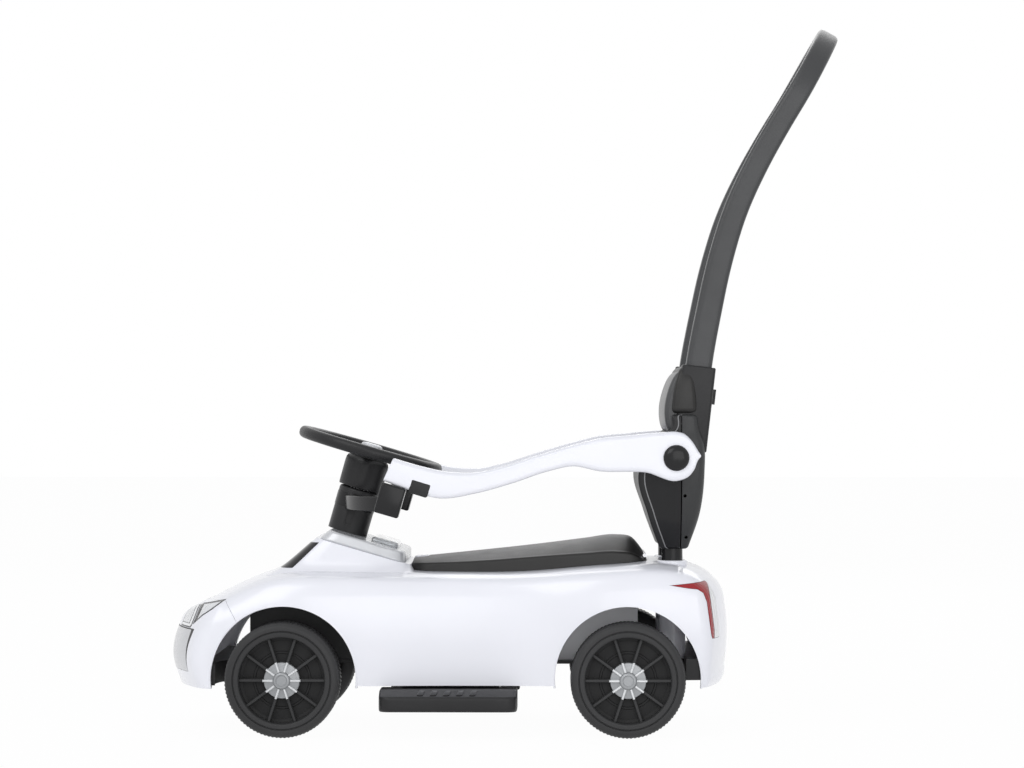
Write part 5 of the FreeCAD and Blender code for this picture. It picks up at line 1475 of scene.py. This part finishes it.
@dataclass
class Guard(Column):
    """The two white guard arms on their knobs, and the bowed bracket that they rest on."""

    pivot_x: float = 224.4
    pivot_z: float = 363.8
    length: float = 384.4
    inner: float = 128.0
    outer: float = 152.0
    upper: tuple = ((-0.962, -0.001), (-0.873, -0.027), (-0.770, -0.048), (-0.681, -0.049), (-0.599, -0.032),
                    (-0.476, 0.007), (-0.353, 0.043), (-0.258, 0.0668), (-0.150, 0.0780), (-0.050, 0.0870),
                    (0.006, 0.0885), (0.027, 0.0825), (0.0445, 0.0684), (0.0585, 0.0512), (0.069, 0.0338),
                    (0.0793, 0.0164), (0.0856, 0.006))
    lower: tuple = ((0.0856, 0.006), (0.0765, -0.0040), (0.0695, -0.0190), (0.0637, -0.0359),
                    (0.0549, -0.0497), (0.0445, -0.0619), (0.0307, -0.0705), (0.0133, -0.0765),
                    (-0.0075, -0.0793), (-0.0286, -0.0757), (-0.0494, -0.0682), (-0.0702, -0.0601),
                    (-0.0877, -0.0533), (-0.1050, -0.0497), (-0.130, -0.0481), (-0.257, -0.0460),
                    (-0.353, -0.029), (-0.435, -0.046), (-0.558, -0.087), (-0.681, -0.121),
                    (-0.805, -0.138), (-0.917, -0.107), (-0.997, -0.078))
    knob: tuple = ((9.0, 152.0), (16.2, 152.2), (17.0, 153.0), (17.0, 153.8), (16.2, 155.6), (14.4, 157.5),
                   (11.4, 159.0), (7.0, 160.0), (0.02, 160.3))
    block_x: float = -150.0
    block_y: float = 140.0
    block_z: float = 308.0
    block_half: tuple = (16.5, 13.0, 20.0)
    block_edge: float = 4.0
    block_roll: float = 0.6
    notch_gap: float = 0.6
    notch_edge: float = 2.0
    bar_edge: float = 6.5
    bar_share: float = 0.9
    bar_phase: float = 0.001
    bar_end: float = 1.5
    band: tuple = rectangle(-3.5, -10, 3.5, 10)
    band_corner: float = 2.6
    latch: tuple = ((-13, -9), (12, -9), (13, -3), (13, 9), (-13, 9))
    latch_x: float = -111.0
    latch_z: float = 323.5
    latch_tilt: float = 17.0
    latch_corner: float = 2.2
    latch_edge: float = 1.2
    latch_span: tuple = (127.7, 152.4)
    bow_x: float = -65.0
    bow_z: float = 302.0
    bow_radius: float = 151.0
    pin: tuple = ((7.6, 120.0), (8.0, 120.4), (8.0, 152.4))
    collar: tuple = ((27.05, -9.4), (27.4, -9.2), (27.6, -8.4), (27.6, 8.4), (27.4, 9.2), (27.05, 9.4))

    def block(self, grow: float, side: Side, edge: float) -> Array:
        """The rest at one end of the bracket: a box with rolled edges in the tilted frame.

        Args:
            grow: How far every face is moved outwards.
            side: The rest's side.
            edge: The radius of its corners.

        Returns:
            A grid of rings by points round each.
        """
        long, wide, drop = (half + grow for half in self.block_half)
        outline = rounded(rectangle(-long, -wide, long, wide), edge, 6)
        rings = slab(outline, -drop, drop, edge * self.block_roll, 4)
        return on_axis(rings, self.block_x, self.block_z, self.tilt) + (0, side.value * self.block_y, 0)

    def bar(self) -> Array:
        """One arm as sections between its lower and upper edge: a box with corners rolled by a radius.

        Returns:
            A grid of sections from the front end to the rear point by points round each, for the left side.
        """
        origin = np.array((self.pivot_x, self.pivot_z))
        upper = through(self.upper, 150) * self.length + origin
        lower = through(self.lower, 150)[::-1] * self.length + origin
        middle, rise = (upper + lower) / 2, (upper - lower) / 2
        tall = np.linalg.norm(rise, axis=1)
        up = rise / np.maximum(tall, 1e-6)[:, None]
        up[-1] = up[-2]
        half = (self.outer - self.inner) / 2
        angle = np.linspace(0, 2 * np.pi, 48, endpoint=False) + self.bar_phase
        radius = np.minimum(self.bar_edge, tall * self.bar_share)[:, None]
        across = np.sign(np.cos(angle)) * (half - radius) + radius * np.cos(angle)
        above = np.sign(np.sin(angle)) * (tall[:, None] - radius) + radius * np.sin(angle)
        x = middle[:, :1] + above * up[:, :1]
        z = middle[:, 1:] + above * up[:, 1:]
        return np.stack([x, across - (self.inner + half), z], axis=2)

    def arm(self, side: Side) -> None:
        """One arm, notched over its rest, with the latch at its front end.

        Args:
            side: The arm's side.
        """
        body = f"guard_arm_{side.word}"
        obj = Draft.of(self.bar() * (1, -side.value, 1)).build(f"guard_bar_{side.word}")
        carve(obj, Draft.of(self.block(self.notch_gap, side, self.notch_edge)))
        soften(obj, self.bar_end, 50, 3)
        self.finish(obj, body, "white_gloss", "body_white", body)
        outline = rounded(self.latch, self.latch_corner, 5)
        rings = slab(outline, *self.latch_span, self.latch_edge, 4)[:, :, (0, 2, 1)]
        leaned = on_axis(rings * (1, side.value, 1), self.latch_x, self.latch_z, self.latch_tilt)
        clip = Draft.of(leaned).build(f"arm_latch_{side.word}")
        self.finish(clip, body, "black_satin", "black_plastic")

    def bracket(self) -> None:
        """The bowed band, its collar on the column and the two rests."""
        turn = math.acos((self.block_x - self.bow_x) / self.bow_radius)
        angle = np.linspace(turn, 2 * np.pi - turn, 90)
        radial = np.stack([np.cos(angle), np.sin(angle), 0 * angle], axis=1)
        path = np.array((self.bow_x, 0.0, self.bow_z)) + self.bow_radius * radial
        band = rounded(self.band, self.band_corner, 6)
        draft = Draft.of(swept(path, band, radial, (0, 0, 1)))
        middle = (self.bow_z - self.z) / math.cos(math.radians(self.tilt))
        draft.grid(self.place(turned(np.array(self.collar) + (0, middle), 96)), True)
        for side in Side:
            draft.closed(self.block(0.0, side, self.block_edge))
        self.finish(draft.build("guard_rest"), "body", "black_gloss_soft", "black_plastic", "guard_bracket")

    def build(self) -> None:
        """Build both arms, their knobs and the bracket."""
        draft = Draft()
        for side in Side:
            self.arm(side)
            draft.grid(beside(turned(self.knob, 72), self.pivot_x, self.pivot_z, side), True)
            draft.closed(beside(turned(self.pin, 48), self.pivot_x, self.pivot_z, side))
        self.finish(draft.build("pivot_caps"), "body", "black_gloss_soft", "black_plastic", "pivot_knobs")
        self.bracket()


@dataclass
class Seat(Hull):
    """The black saddle over the bin: upright sides, a crowned top rising to the rear, and a finger tab."""

    front: float = -126.0
    rear: float = 189.0
    seat_half: float = 86.0
    saddle: tuple = ((0.00, 0.88, 222.5, 227.0), (0.08, 0.95, 223.5, 229.5), (0.31, 1.00, 227.0, 237.0),
                     (0.54, 1.00, 232.5, 245.0), (0.74, 1.00, 237.0, 253.0), (0.87, 0.97, 239.0, 257.8),
                     (0.94, 0.92, 236.0, 254.5), (1.00, 0.86, 228.0, 240.0))
    front_roll: float = 3.0
    rear_roll: float = 24.0
    corner: float = 22.0
    edge: float = 4.5
    tab: tuple = rectangle(-123.5, -14.0, -104.0, 14.0)
    tab_slope: float = 0.055
    tab_span: tuple = (222.0, 229.0)
    tab_corner: float = 6.0
    tab_edge: float = 1.4
    seat_wall: float = 3.0
    seat_draft: float = 1.0
    deck_gap: float = 0.6
    crown_power: float = 2.2
    least_lift: float = 0.02

    @staticmethod
    def lifted(away: Array, roll: float) -> Array:
        """The share of the height under a rolled end, sqrt(1 - (1 - d / r)^2), at distances d from it."""
        return np.sqrt(np.clip(1 - np.clip(1 - away / roll, 0, 1) ** 2, 0, 1))

    def deck_height(self, x: Array, y: Array) -> Array:
        """Height of the body's deck at X and Y."""
        line = np.array(self.shoulder)[::-1]
        return self.crown(x) * np.interp(np.abs(y) / self.width(x), line[:, 0], line[:, 1])

    def surface(self) -> Array:
        """The seat's outside: walls, a rolled edge, then z = s + (t - s)(1 - |y / h|^n) across.

        Returns:
            A grid of stations from front to rear by points from the left foot over the crown to the right.
        """
        table = np.array(self.saddle)
        share = (1 - np.cos(np.linspace(0, np.pi, 90))) / 2
        x = self.front + (self.rear - self.front) * share
        half, side, top = smooth(table[:, 0], table[:, 1:], share).T[:, :, None]
        ahead, behind = x - self.front, self.rear - x
        half = half * self.seat_half - (drawn_in(self.corner, ahead) + drawn_in(self.corner, behind))[:, None]
        lift = (self.lifted(ahead, self.front_roll) * self.lifted(behind, self.rear_roll))[:, None]
        wall, arc = np.linspace(0, 1, 9)[:-1], np.linspace(0, np.pi / 2, 9)
        crest = np.linspace(1, 0, 26)[1:]
        foot_y = half - self.seat_draft * wall
        roll_y = half - self.seat_draft - self.edge * (1 - np.cos(arc))
        top_y = (half - self.seat_draft - self.edge) * crest
        y = np.concatenate([foot_y, roll_y, top_y], axis=1)
        x = np.broadcast_to(x[:, None], y.shape)
        deck = self.deck_height(x, y) + self.deck_gap
        foot = deck[:, :len(wall)]
        foot_z = foot + (side - self.edge - foot) * wall
        roll_z = side - self.edge + self.edge * np.sin(arc) + 0 * half
        top_z = side + (top - side) * (1 - crest**self.crown_power)
        z = np.concatenate([foot_z, roll_z, top_z], axis=1)
        z = deck + (z - deck) * np.clip(lift, self.least_lift, 1)
        left = np.stack([x, -y, z], axis=2)
        return np.concatenate([left, left[:, -2::-1] * (1, -1, 1)], axis=1)

    def build(self) -> None:
        """Build the seat and the white finger tab at its front."""
        draft = Draft()
        draft.grid(self.surface())
        obj = draft.build("saddle", 50)
        thicken(obj, self.seat_wall)
        polish(obj, 45)
        self.finish(obj, "seat_lid", "black_seat", "black_plastic", "seat_lid")
        leaned = slab(rounded(self.tab, self.tab_corner, 8), *self.tab_span, self.tab_edge, 5)
        leaned[..., 2] += (leaned[..., 0] - self.tab[0][0]) * self.tab_slope
        self.finish(Draft.of(leaned).build("finger_tab"), "seat_lid", "white_gloss", "body_white")


@dataclass
class Legs(Builder):
    """The frame of the handle's two legs, shared by the backrest's sockets and the handle."""

    foot: tuple = (256.0, 484.0)
    lean: float = 6.5
    leg_y: float = 100.0


@dataclass
class Backrest(Legs):
    """The hollow backrest: front rim, side panel and rear shell, the padded block above and the sockets."""

    front: float = 176.0
    rear: float = 263.0
    half: float = 126.6
    low: float = 242.0
    seam: float = 421.0
    high: float = 485.0
    rim: float = 9.0
    parting: float = 233.0
    gap: float = 1.1
    bow: float = 6.0
    shell: tuple = ((0.000, 0.333, 0.241, 0.67), (0.268, 0.138, 0.069, 0.905), (0.575, 0.000, 0.000, 1.000),
                    (0.799, 0.230, 0.011, 1.000), (0.883, 0.470, 0.057, 0.97), (1.000, 0.500, 0.103, 0.96))
    cap: tuple = ((0.00, 0.500, 0.103, 0.96), (0.45, 0.535, 0.120, 0.955), (0.80, 0.590, 0.160, 0.93),
                  (1.00, 0.640, 0.230, 0.88))
    pad: tuple = ((220.5, 396.5), (215.5, 399.0), (212.6, 405.0), (210.6, 416.0), (210.4, 429.5),
                  (213.0, 445.0), (217.4, 459.0), (222.6, 470.0), (228.6, 477.0), (235.0, 480.0),
                  (241.0, 477.0), (241.0, 396.5))
    pad_half: float = 114.0
    pad_edge: float = 7.0
    holes: tuple = ((237.0, 313.5), (239.5, 258.0))
    recess_low: float = 266.0
    recess_high: float = 400.0
    recess_roll: float = 2.5
    recess_depth: float = 1.8
    rim_radii: tuple = (6.5, 1.0)
    panel_radii: tuple = (1.0, 1.0)
    back_radii: tuple = (1.0, 12.0)
    cap_radii: tuple = (5.0, 9.0)
    shell_edge: float = 4.0
    cap_edge: float = 7.0
    half_seam: float = 0.6
    back_least: float = 7.0
    highlight_ahead: float = 4.0
    highlight_behind: float = 3.0
    highlight_sunk: float = 0.35
    screw: tuple = ((2.2, 60.0), (2.2, 140.0))
    socket: tuple = rectangle(-22.3, -17.3, 22.3, 17.3)
    socket_corner: float = 5.0
    socket_edge: float = 2.0
    socket_depth: float = 112.0
    bore: tuple = rectangle(-18.3, -13.3, 18.3, 13.3)
    bore_corner: float = 7.0
    bore_levels: tuple = (-0.2, -1.0, -107.0)

    def levels(self, shares: tuple, low: float, high: float, edge: float) -> tuple[Array, ...]:
        """Heights between two ends with the front, rear and half width there, drawn in over the rolled ends.

        Args:
            shares: Height, front, rear and side of each station, as shares.
            low: The lowest height.
            high: The highest height.
            edge: The radius of the rolled ends.

        Returns:
            Heights, front X, rear X and half width.
        """
        table = np.array(shares)
        angle = np.linspace(0, np.pi / 2, 7)[:-1]
        roll, draw = edge * (1 - np.cos(angle)), edge * (1 - np.sin(angle))
        edges = (self.recess_low, self.recess_low + self.recess_roll,
                 self.recess_high - self.recess_roll, self.recess_high)
        middle = np.sort(np.concatenate([np.linspace(low + edge, high - edge, 46), edges]))
        middle = middle[(middle >= low + edge) & (middle <= high - edge)]
        heights = np.concatenate([low + roll, middle, (high - roll)[::-1]])
        drawn = np.concatenate([draw, np.zeros(len(middle)), draw[::-1]])
        ahead, behind, wide = smooth(table[:, 0], table[:, 1:], (heights - low) / (high - low)).T
        depth = self.rear - self.front
        return (heights, self.front + depth * ahead + drawn, self.rear - depth * behind - drawn,
                np.minimum(self.half * wide, self.half) - drawn)

    @staticmethod
    def rings(
        heights: Array, start: Array, end: Array, wide: Array, radii: tuple, bow: float, recess: Array
    ) -> Array:
        """Level rings: x = start + bow (1 - t^2) across the front, round corners, a recess across the rear.

        Args:
            heights: Z of each ring.
            start: Front X of each ring.
            end: Rear X of each ring.
            wide: Half width of each ring.
            radii: The corner radius at the front and at the rear.
            bow: How far the front is hollowed in its middle.
            recess: How deep the rear is set in at each height.

        Returns:
            A grid of heights by points round each ring.
        """
        start, end, wide, recess = (np.asarray(values)[:, None] for values in (start, end, wide, recess))
        most, inside, outside = (end - start) * 0.45, 0.72, 0.74
        first, last = (np.minimum(radius, most) for radius in radii)
        t = np.sort(np.concatenate([np.linspace(-1, 1, 25), (-outside, -inside, inside, outside)]))
        angle = np.linspace(0, np.pi / 2, 9)[1:-1]
        cosine, sine = np.cos(angle), np.sin(angle)
        sunk = recess * np.clip((outside - np.abs(t)) / (outside - inside), 0, 1)
        x = [start + bow * (1 - t**2), start + first - first * cosine, end - last + last * sine,
             end - sunk, end - last + last * cosine, start + first - first * sine]
        y = [(wide - first) * t, wide - first + first * sine, wide - last + last * cosine,
             (wide - last) * t[::-1], last - wide - last * sine, first - wide - first * cosine]
        x, y = np.concatenate(x, axis=1), np.concatenate(y, axis=1)
        return np.stack([x, y, np.broadcast_to(heights[:, None], x.shape)], axis=2)

    def shells(self) -> None:
        """The seam's pale strip of painted highlight, the front rim, the dark side panel and the rear shell
        with its sunk back.
        """
        top = self.seam - self.half_seam
        heights, start, end, wide = self.levels(self.shell, self.low, top, self.shell_edge)
        flat = np.zeros(len(heights))
        from_low, to_high = heights - self.recess_low, self.recess_high - heights
        sunk = self.recess_depth * np.clip(from_low / self.recess_roll, 0, 1)
        sunk = sunk * np.clip(to_high / self.recess_roll, 0, 1)
        parting = np.minimum(self.parting, end - self.back_least)
        seam = start + self.rim
        ahead, behind = seam - self.highlight_ahead, seam + self.highlight_behind
        # painted highlight: a pale strip just under the surface, seen through the gap between rim and panel
        seam_highlight = self.rings(heights, ahead, behind, wide - self.highlight_sunk, self.panel_radii, self.bow, flat)
        self.finish(Draft.of(seam_highlight).build("backrest_seam_highlight"), "body", "seam_highlight_grey", "silver")
        for name, finish, ahead, behind, radii, bow, recess, *nodes in (
            ("rim", "black_satin", start, seam - self.gap, self.rim_radii, self.bow, flat),
            ("panel", "black_gloss_soft", seam, parting - self.gap, self.panel_radii, self.bow, flat,
             "backrest_front"),
            ("back", "shell_grey", parting, end, self.back_radii, 0.0, sunk, "backrest_rear"),
        ):
            rings = self.rings(heights, ahead, behind, wide, radii, bow, recess)
            obj = Draft.of(rings).build(f"backrest_{name}")
            if name == "back":
                hole = turned(self.screw, 24)
                carve(obj, Draft.of(*(beside(hole, x, z, side) for x, z in self.holes for side in Side)))
            self.finish(obj, "body", finish, "black_plastic", *nodes)

    def head(self) -> None:
        """The block above the seam and the rounded pad on its front, whose lighter grey is painted reflection
        on shiny black.
        """
        low = self.seam + self.half_seam
        heights, start, end, wide = self.levels(self.cap, low, self.high, self.cap_edge)
        block = Draft.of(self.rings(heights, start, end, wide, self.cap_radii, 0.0, 0 * heights))
        self.finish(block.build("head_block"), "body", "black_seat", "black_plastic", "headrest_cap")
        rings = slab(through(self.pad, 90, True), -self.pad_half, self.pad_half, self.pad_edge, 8)
        pad = Draft.of(rings[:, :, (0, 2, 1)])
        self.finish(pad.build("head_pad", 50), "body", "pad_grey", "black_plastic")

    def sockets(self) -> None:
        """The two sockets: rounded boxes with a bore, leaning with the handle's legs."""
        draft = Draft()
        box = rounded(self.socket, self.socket_corner, 8)
        rings = slab(box, -self.socket_depth, 0, self.socket_edge, 5)
        bore = prism(rounded(self.bore, self.bore_corner, 8), Axis.Z, *self.bore_levels)
        for side in Side:
            shape = np.concatenate([rings, bore]) + (0, side.value * self.leg_y, 0)
            draft.closed(on_axis(shape, *self.foot, self.lean))
        self.finish(draft.build("handle_sockets"), "body", "black_satin", "black_plastic", "handle_sleeves")

    def build(self) -> None:
        """Build the shells, the block with its pad and the sockets."""
        self.shells()
        self.head()
        self.sockets()


@dataclass
class PushHandle(Legs):
    """The parent's handle: a rounded bar carried up both legs and over in a half ring, leaning back."""

    apex: tuple = (437.6, 936.0)
    line: tuple = ((0, 0), (0.077, 0.168), (0.149, 0.299), (0.275, 0.462), (0.435, 0.600), (0.579, 0.703),
                   (0.734, 0.806), (1, 1))
    half_width: float = 13.0
    depths: tuple = (18.0, 14.5)
    sunk: float = 106.0
    power: float = 4.6

    def build(self) -> None:
        """Build the handle: the path runs in the bent sheet of its side line, s along it and y across it."""
        foot, apex = np.array(self.foot), np.array(self.apex)
        side_line = foot + (apex - foot) * np.array(self.line)
        tilt = math.radians(self.lean)
        below = foot - self.sunk * np.array((math.sin(tilt), math.cos(tilt)))
        side_line = np.concatenate([[below, (below + foot) / 2], side_line])
        curve = through(side_line, 400)
        length = lengths(curve)
        ring_start = length[-1] - self.leg_y - self.half_width
        leg = np.linspace(0, ring_start, 120)[:-1]
        angle = np.linspace(0, np.pi, 97)
        straight = np.full(len(leg), self.leg_y)
        s = np.concatenate([leg, ring_start + self.leg_y * np.sin(angle), leg[::-1]])
        y = np.concatenate([-straight, -self.leg_y * np.cos(angle), straight])
        slope = np.gradient(curve, length, axis=0)
        slope /= np.linalg.norm(slope, axis=1, keepdims=True)
        x, z = (np.interp(s, length, curve[:, axis]) for axis in (0, 1))
        run_x, run_z = (np.interp(s, length, slope[:, axis]) for axis in (0, 1))
        flow_s, flow_y = np.gradient(s), np.gradient(y)
        flow = np.hypot(flow_s, flow_y)
        flow_s, flow_y = flow_s / flow, flow_y / flow
        side = np.stack([-flow_y * run_x, flow_s, -flow_y * run_z], axis=1)
        up = np.stack([run_z, np.zeros(len(s)), -run_x], axis=1)
        depth = np.interp(s, (0, length[-1]), self.depths)
        section = oval(self.half_width, 1.0, self.power, 48)
        grid = swept(np.stack([x, y, z], axis=1), section, side, up, 1.0, depth)
        bar = Draft.of(grid).build("handle_bar", 45)
        self.finish(bar, "push_handle", "handle_grey", "black_plastic", "push_handle")


@dataclass
class Footrest(Builder):
    """One sliding footrest: a ribbed board that slopes up to the sill, round at its corners, on two rails."""

    side: Side = Side.LEFT
    front: float = -163.0
    rear: float = 17.0
    inner: float = 124.0
    outer: float = 190.0
    low: float = 35.0
    lip: float = 54.5
    crest: float = 62.5
    crest_y: float = 160.0
    crest_gap: float = 3.0
    corner: float = 15.0
    edge: float = 3.0
    end_zone: float = 20.0
    bend_start: float = 0.35
    ribs: tuple = (-108.0, -91.0, -74.0, -57.0, -40.0)
    corners: tuple = (3, 5, 4, 6, 3)
    rib: tuple = ((-2.6, -9), (5.4, -9), (2.6, 9), (-5.4, 9))
    rib_corner: float = 2.2
    rib_span: tuple = (-1.5, 1.1)
    rib_edge: float = 0.7
    rail: tuple = ((4.6, 50.0), (5.0, 50.5), (5.0, 126.0))
    rail_inset: float = 45.0
    rail_z: float = 46.0

    def board(self) -> Array:
        """Sections along X, drawn in at the ends by e(1 - sin a), their outer side rounded in plan.

        Returns:
            A grid of stations by points round each section.
        """
        angle = np.linspace(0, np.pi / 2, 8)
        ends = self.edge * (1 - np.cos(angle))
        bends = self.corner * (1 - np.cos(np.linspace(self.bend_start, np.pi / 2, 12)))
        near = np.unique(np.concatenate([ends, bends]))
        between = np.linspace(self.front + self.end_zone, self.rear - self.end_zone, 12)
        x = np.concatenate([self.front + near, between, (self.rear - near)[::-1]])
        away = np.minimum(x - self.front, self.rear - x)
        run = self.outer - self.crest_y
        sections = []
        for place, reach, draw in zip(x, self.outer - drawn_in(self.corner, away), drawn_in(self.edge, away)):
            rise = self.lip + (self.crest - self.lip) * min(max((reach - self.crest_y) / run, 0.0), 1.0)
            corners = ((self.inner, self.low), (reach, self.low), (reach, min(self.lip, rise)),
                       (min(self.crest_y, reach - self.crest_gap), self.crest), (self.inner, self.crest))
            ring = inset(rounded(corners, self.corners, 6), draw)
            sections.append(np.insert(ring, Axis.X, place, axis=1))
        return np.stack(sections)

    def build(self) -> None:
        """Build the board, its ribs and its rails."""
        sign = self.side.value
        name = f"footrest_{self.side.word}"
        board, ribs, rails = Draft.of(self.board() * (1, sign, 1)), Draft(), Draft()
        slope = math.atan2(self.crest - self.lip, self.outer - self.crest_y)
        sine, cosine = math.sin(slope), math.cos(slope)
        rib = slab(rounded(self.rib, self.rib_corner, 5), *self.rib_span, self.rib_edge, 4)
        for x in self.ribs:
            middle = (x, sign * (self.outer + self.crest_y) / 2, (self.crest + self.lip) / 2)
            ribs.closed(placed(rib, middle, (1, 0, 0), (0, cosine * sign, -sine), (0, sine * sign, cosine)))
        for x in (self.front + self.rail_inset, self.rear - self.rail_inset):
            rails.closed(beside(turned(self.rail, 40), x, self.rail_z, self.side))
        for draft, kind, finish, *nodes in (
            (board, "board", "black_satin", name),
            (ribs, "ribs", "black_gloss_soft"),
            (rails, "rails", "black_satin"),
        ):
            self.finish(draft.build(f"foot_{kind}_{self.side.word}"), name, finish, "black_plastic", *nodes)


NODE_FINISHES = {"backrest_posts": "black_gloss_soft"}

SLOT_FINISHES = {
    "body_white": "white_gloss",
    "black_plastic": "black_satin",
    "wheel_black": "black_wheel",
    "hub_grey": "hub_grey",
    "silver": "dash_silver",
    "lens_red": "lamp_red",
    "lens_clear": "lamp_clear",
    "gloss_black": "black_gloss",
    "inner_grey": "inner_grey",
    "steel": "zinc_steel",
    "circuit": "circuit_green",
}


def dress_frame(frame: dict, palette: Palette) -> None:
    """Give every carried-over CAD node the finish of its material slot.

    Args:
        palette: The finishes.
    """
    for subpart in frame["record"]["subparts"]:
        obj = frame["nodes"][subpart["node"]]
        finish = NODE_FINISHES.get(subpart["node"], SLOT_FINISHES[subpart["material_slot"]])
        material = palette.materials[finish]
        for slot in obj.material_slots:
            slot.material = material
        LOG.info("%s keeps its shape, in %s", obj.name, material.name)


@dataclass
class Studio:
    """A pale floor and backdrop, soft lamps and the camera."""

    eye: tuple = (0.066, -4.07, 0.433)
    yaw: float = 0.82
    pitch: float = 0.40
    lens: float = 105.5
    lamps: tuple = (
        ("key", (-1.6, -2.4, 2.6), (0, 0, 0.3), 2.2, 36),
        ("fill", (0.9, -3.3, 0.75), (0, 0, 0.3), 2.4, 28),
        ("back", (0.6, 2.6, 2.4), (0, 0, 0.4), 2.4, 24),
    )
    floor_reach: float = 14.0
    floor_colour: tuple = (0.95, 0.95, 0.955, 1)
    floor_glow: float = 0.50
    floor_seen_glow: float = 0.475
    sky_colour: tuple = (0.93, 0.95, 1.0, 1)
    sky_strength: float = 0.50
    sensor: float = 36.0
    far: float = 60.0

    def camera(self) -> None:
        """Place the camera as the photograph was taken."""
        data = bpy.data.cameras.new("camera")
        data.lens = self.lens
        data.sensor_width = self.sensor
        data.clip_end = self.far
        camera = bpy.data.objects.new("camera", data)
        camera.location = self.eye
        camera.rotation_euler = (math.radians(90 + self.pitch), 0.0, math.radians(self.yaw))
        bpy.context.scene.collection.objects.link(camera)
        bpy.context.scene.camera = camera

    @staticmethod
    def seen_directly(tree: Tree) -> Socket:
        """Add nodes that tell the rays which see the backdrop itself.

        Args:
            tree: The backdrop's tree.

        Returns:
            The output that is 1 for such rays and 0 for others.
        """
        path = add_node(tree, "LightPath")
        total = path.outputs["Is Camera Ray"]
        for kind in ("Is Transmission Ray", "Is Glossy Ray"):
            add = add_node(tree, "Math", {0: total, 1: path.outputs[kind]})
            add.operation = "ADD"
            add.use_clamp = True
            total = add.outputs[0]
        return total

    @staticmethod
    def blend(tree: Tree, share: Socket, shaders: tuple, output: str) -> None:
        """Mix two shader nodes and put the mix out.

        Args:
            tree: The tree that holds them.
            share: How much the second one counts.
            shaders: The two nodes.
            output: The kind of output node.
        """
        first, second = (shader.outputs[0] for shader in shaders)
        mix = add_node(tree, "MixShader", {"Fac": share, 1: first, 2: second})
        add_node(tree, output, {"Surface": mix.outputs[0]})

    def world(self) -> None:
        """A soft white surround that looks white itself."""
        world = bpy.data.worlds.new("surround")
        bpy.context.scene.world = world
        world.use_nodes = True
        tree = world.node_tree
        tree.nodes.clear()
        light = add_node(tree, "Background", {"Color": self.sky_colour, "Strength": self.sky_strength})
        white = add_node(tree, "Background", {"Color": (1, 1, 1, 1), "Strength": 1.0})
        self.blend(tree, self.seen_directly(tree), (light, white), "OutputWorld")

    def floor(self) -> None:
        """A large pale floor that is nearly white itself and keeps a soft shadow."""
        mesh = bpy.data.meshes.new("floor")
        corners = rectangle(-self.floor_reach, -self.floor_reach, self.floor_reach, self.floor_reach)
        mesh.from_pydata([(x, y, 0) for x, y in corners], [], [(0, 1, 2, 3)])
        floor = bpy.data.objects.new("floor", mesh)
        bpy.context.scene.collection.objects.link(floor)
        material = bpy.data.materials.new("floor_paper")
        material.use_nodes = True
        tree = material.node_tree
        tree.nodes.clear()
        paper = add_node(tree, "BsdfDiffuse", {"Color": self.floor_colour})
        glow = add_node(tree, "Emission", {"Strength": 1.0})
        seen = self.seen_directly(tree)
        share = add_node(tree, "Math", {0: seen, 1: self.floor_seen_glow, 2: self.floor_glow})
        share.operation = "MULTIPLY_ADD"
        self.blend(tree, share.outputs[0], (paper, glow), "OutputMaterial")
        mesh.materials.append(material)

    @staticmethod
    def lamp(name: str, place: tuple, aim: tuple, size: float, power: float) -> None:
        """A square soft lamp that looks at a point.

        Args:
            name: The lamp's name.
            place: Where it stands.
            aim: The point that it looks at.
            size: The length of its sides.
            power: Its power in watts.
        """
        data = bpy.data.lights.new(name, "AREA")
        data.shape = "SQUARE"
        data.size = size
        data.energy = power
        lamp = bpy.data.objects.new(name, data)
        lamp.location = place
        away = np.array(place) - np.array(aim)
        flat = math.hypot(away[0], away[1])
        lamp.rotation_euler = (math.atan2(flat, away[2]), 0.0, math.atan2(away[0], -away[1]))
        bpy.context.scene.collection.objects.link(lamp)

    def build(self) -> None:
        """Build the camera, the surround, the floor and the lamps."""
        bpy.context.scene.view_settings.view_transform = "Standard"
        self.camera()
        self.world()
        self.floor()
        for lamp in self.lamps:
            self.lamp(*lamp)


def main() -> None:
    """Load the frame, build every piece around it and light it."""
    logging.basicConfig(level=logging.INFO, format="%(name)s: %(message)s")
    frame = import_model()
    palette = Palette()
    dress_frame(frame, palette)
    for sub_assembly in (Bodywork, Cowl, Steering, Guard, Seat, Backrest, PushHandle):
        sub_assembly(palette).build()
    for side in Side:
        Footrest(palette, side).build()
        for end in End:
            Wheel(palette, end, side).build()
    Studio().build()


if __name__ == "__main__":
    main()
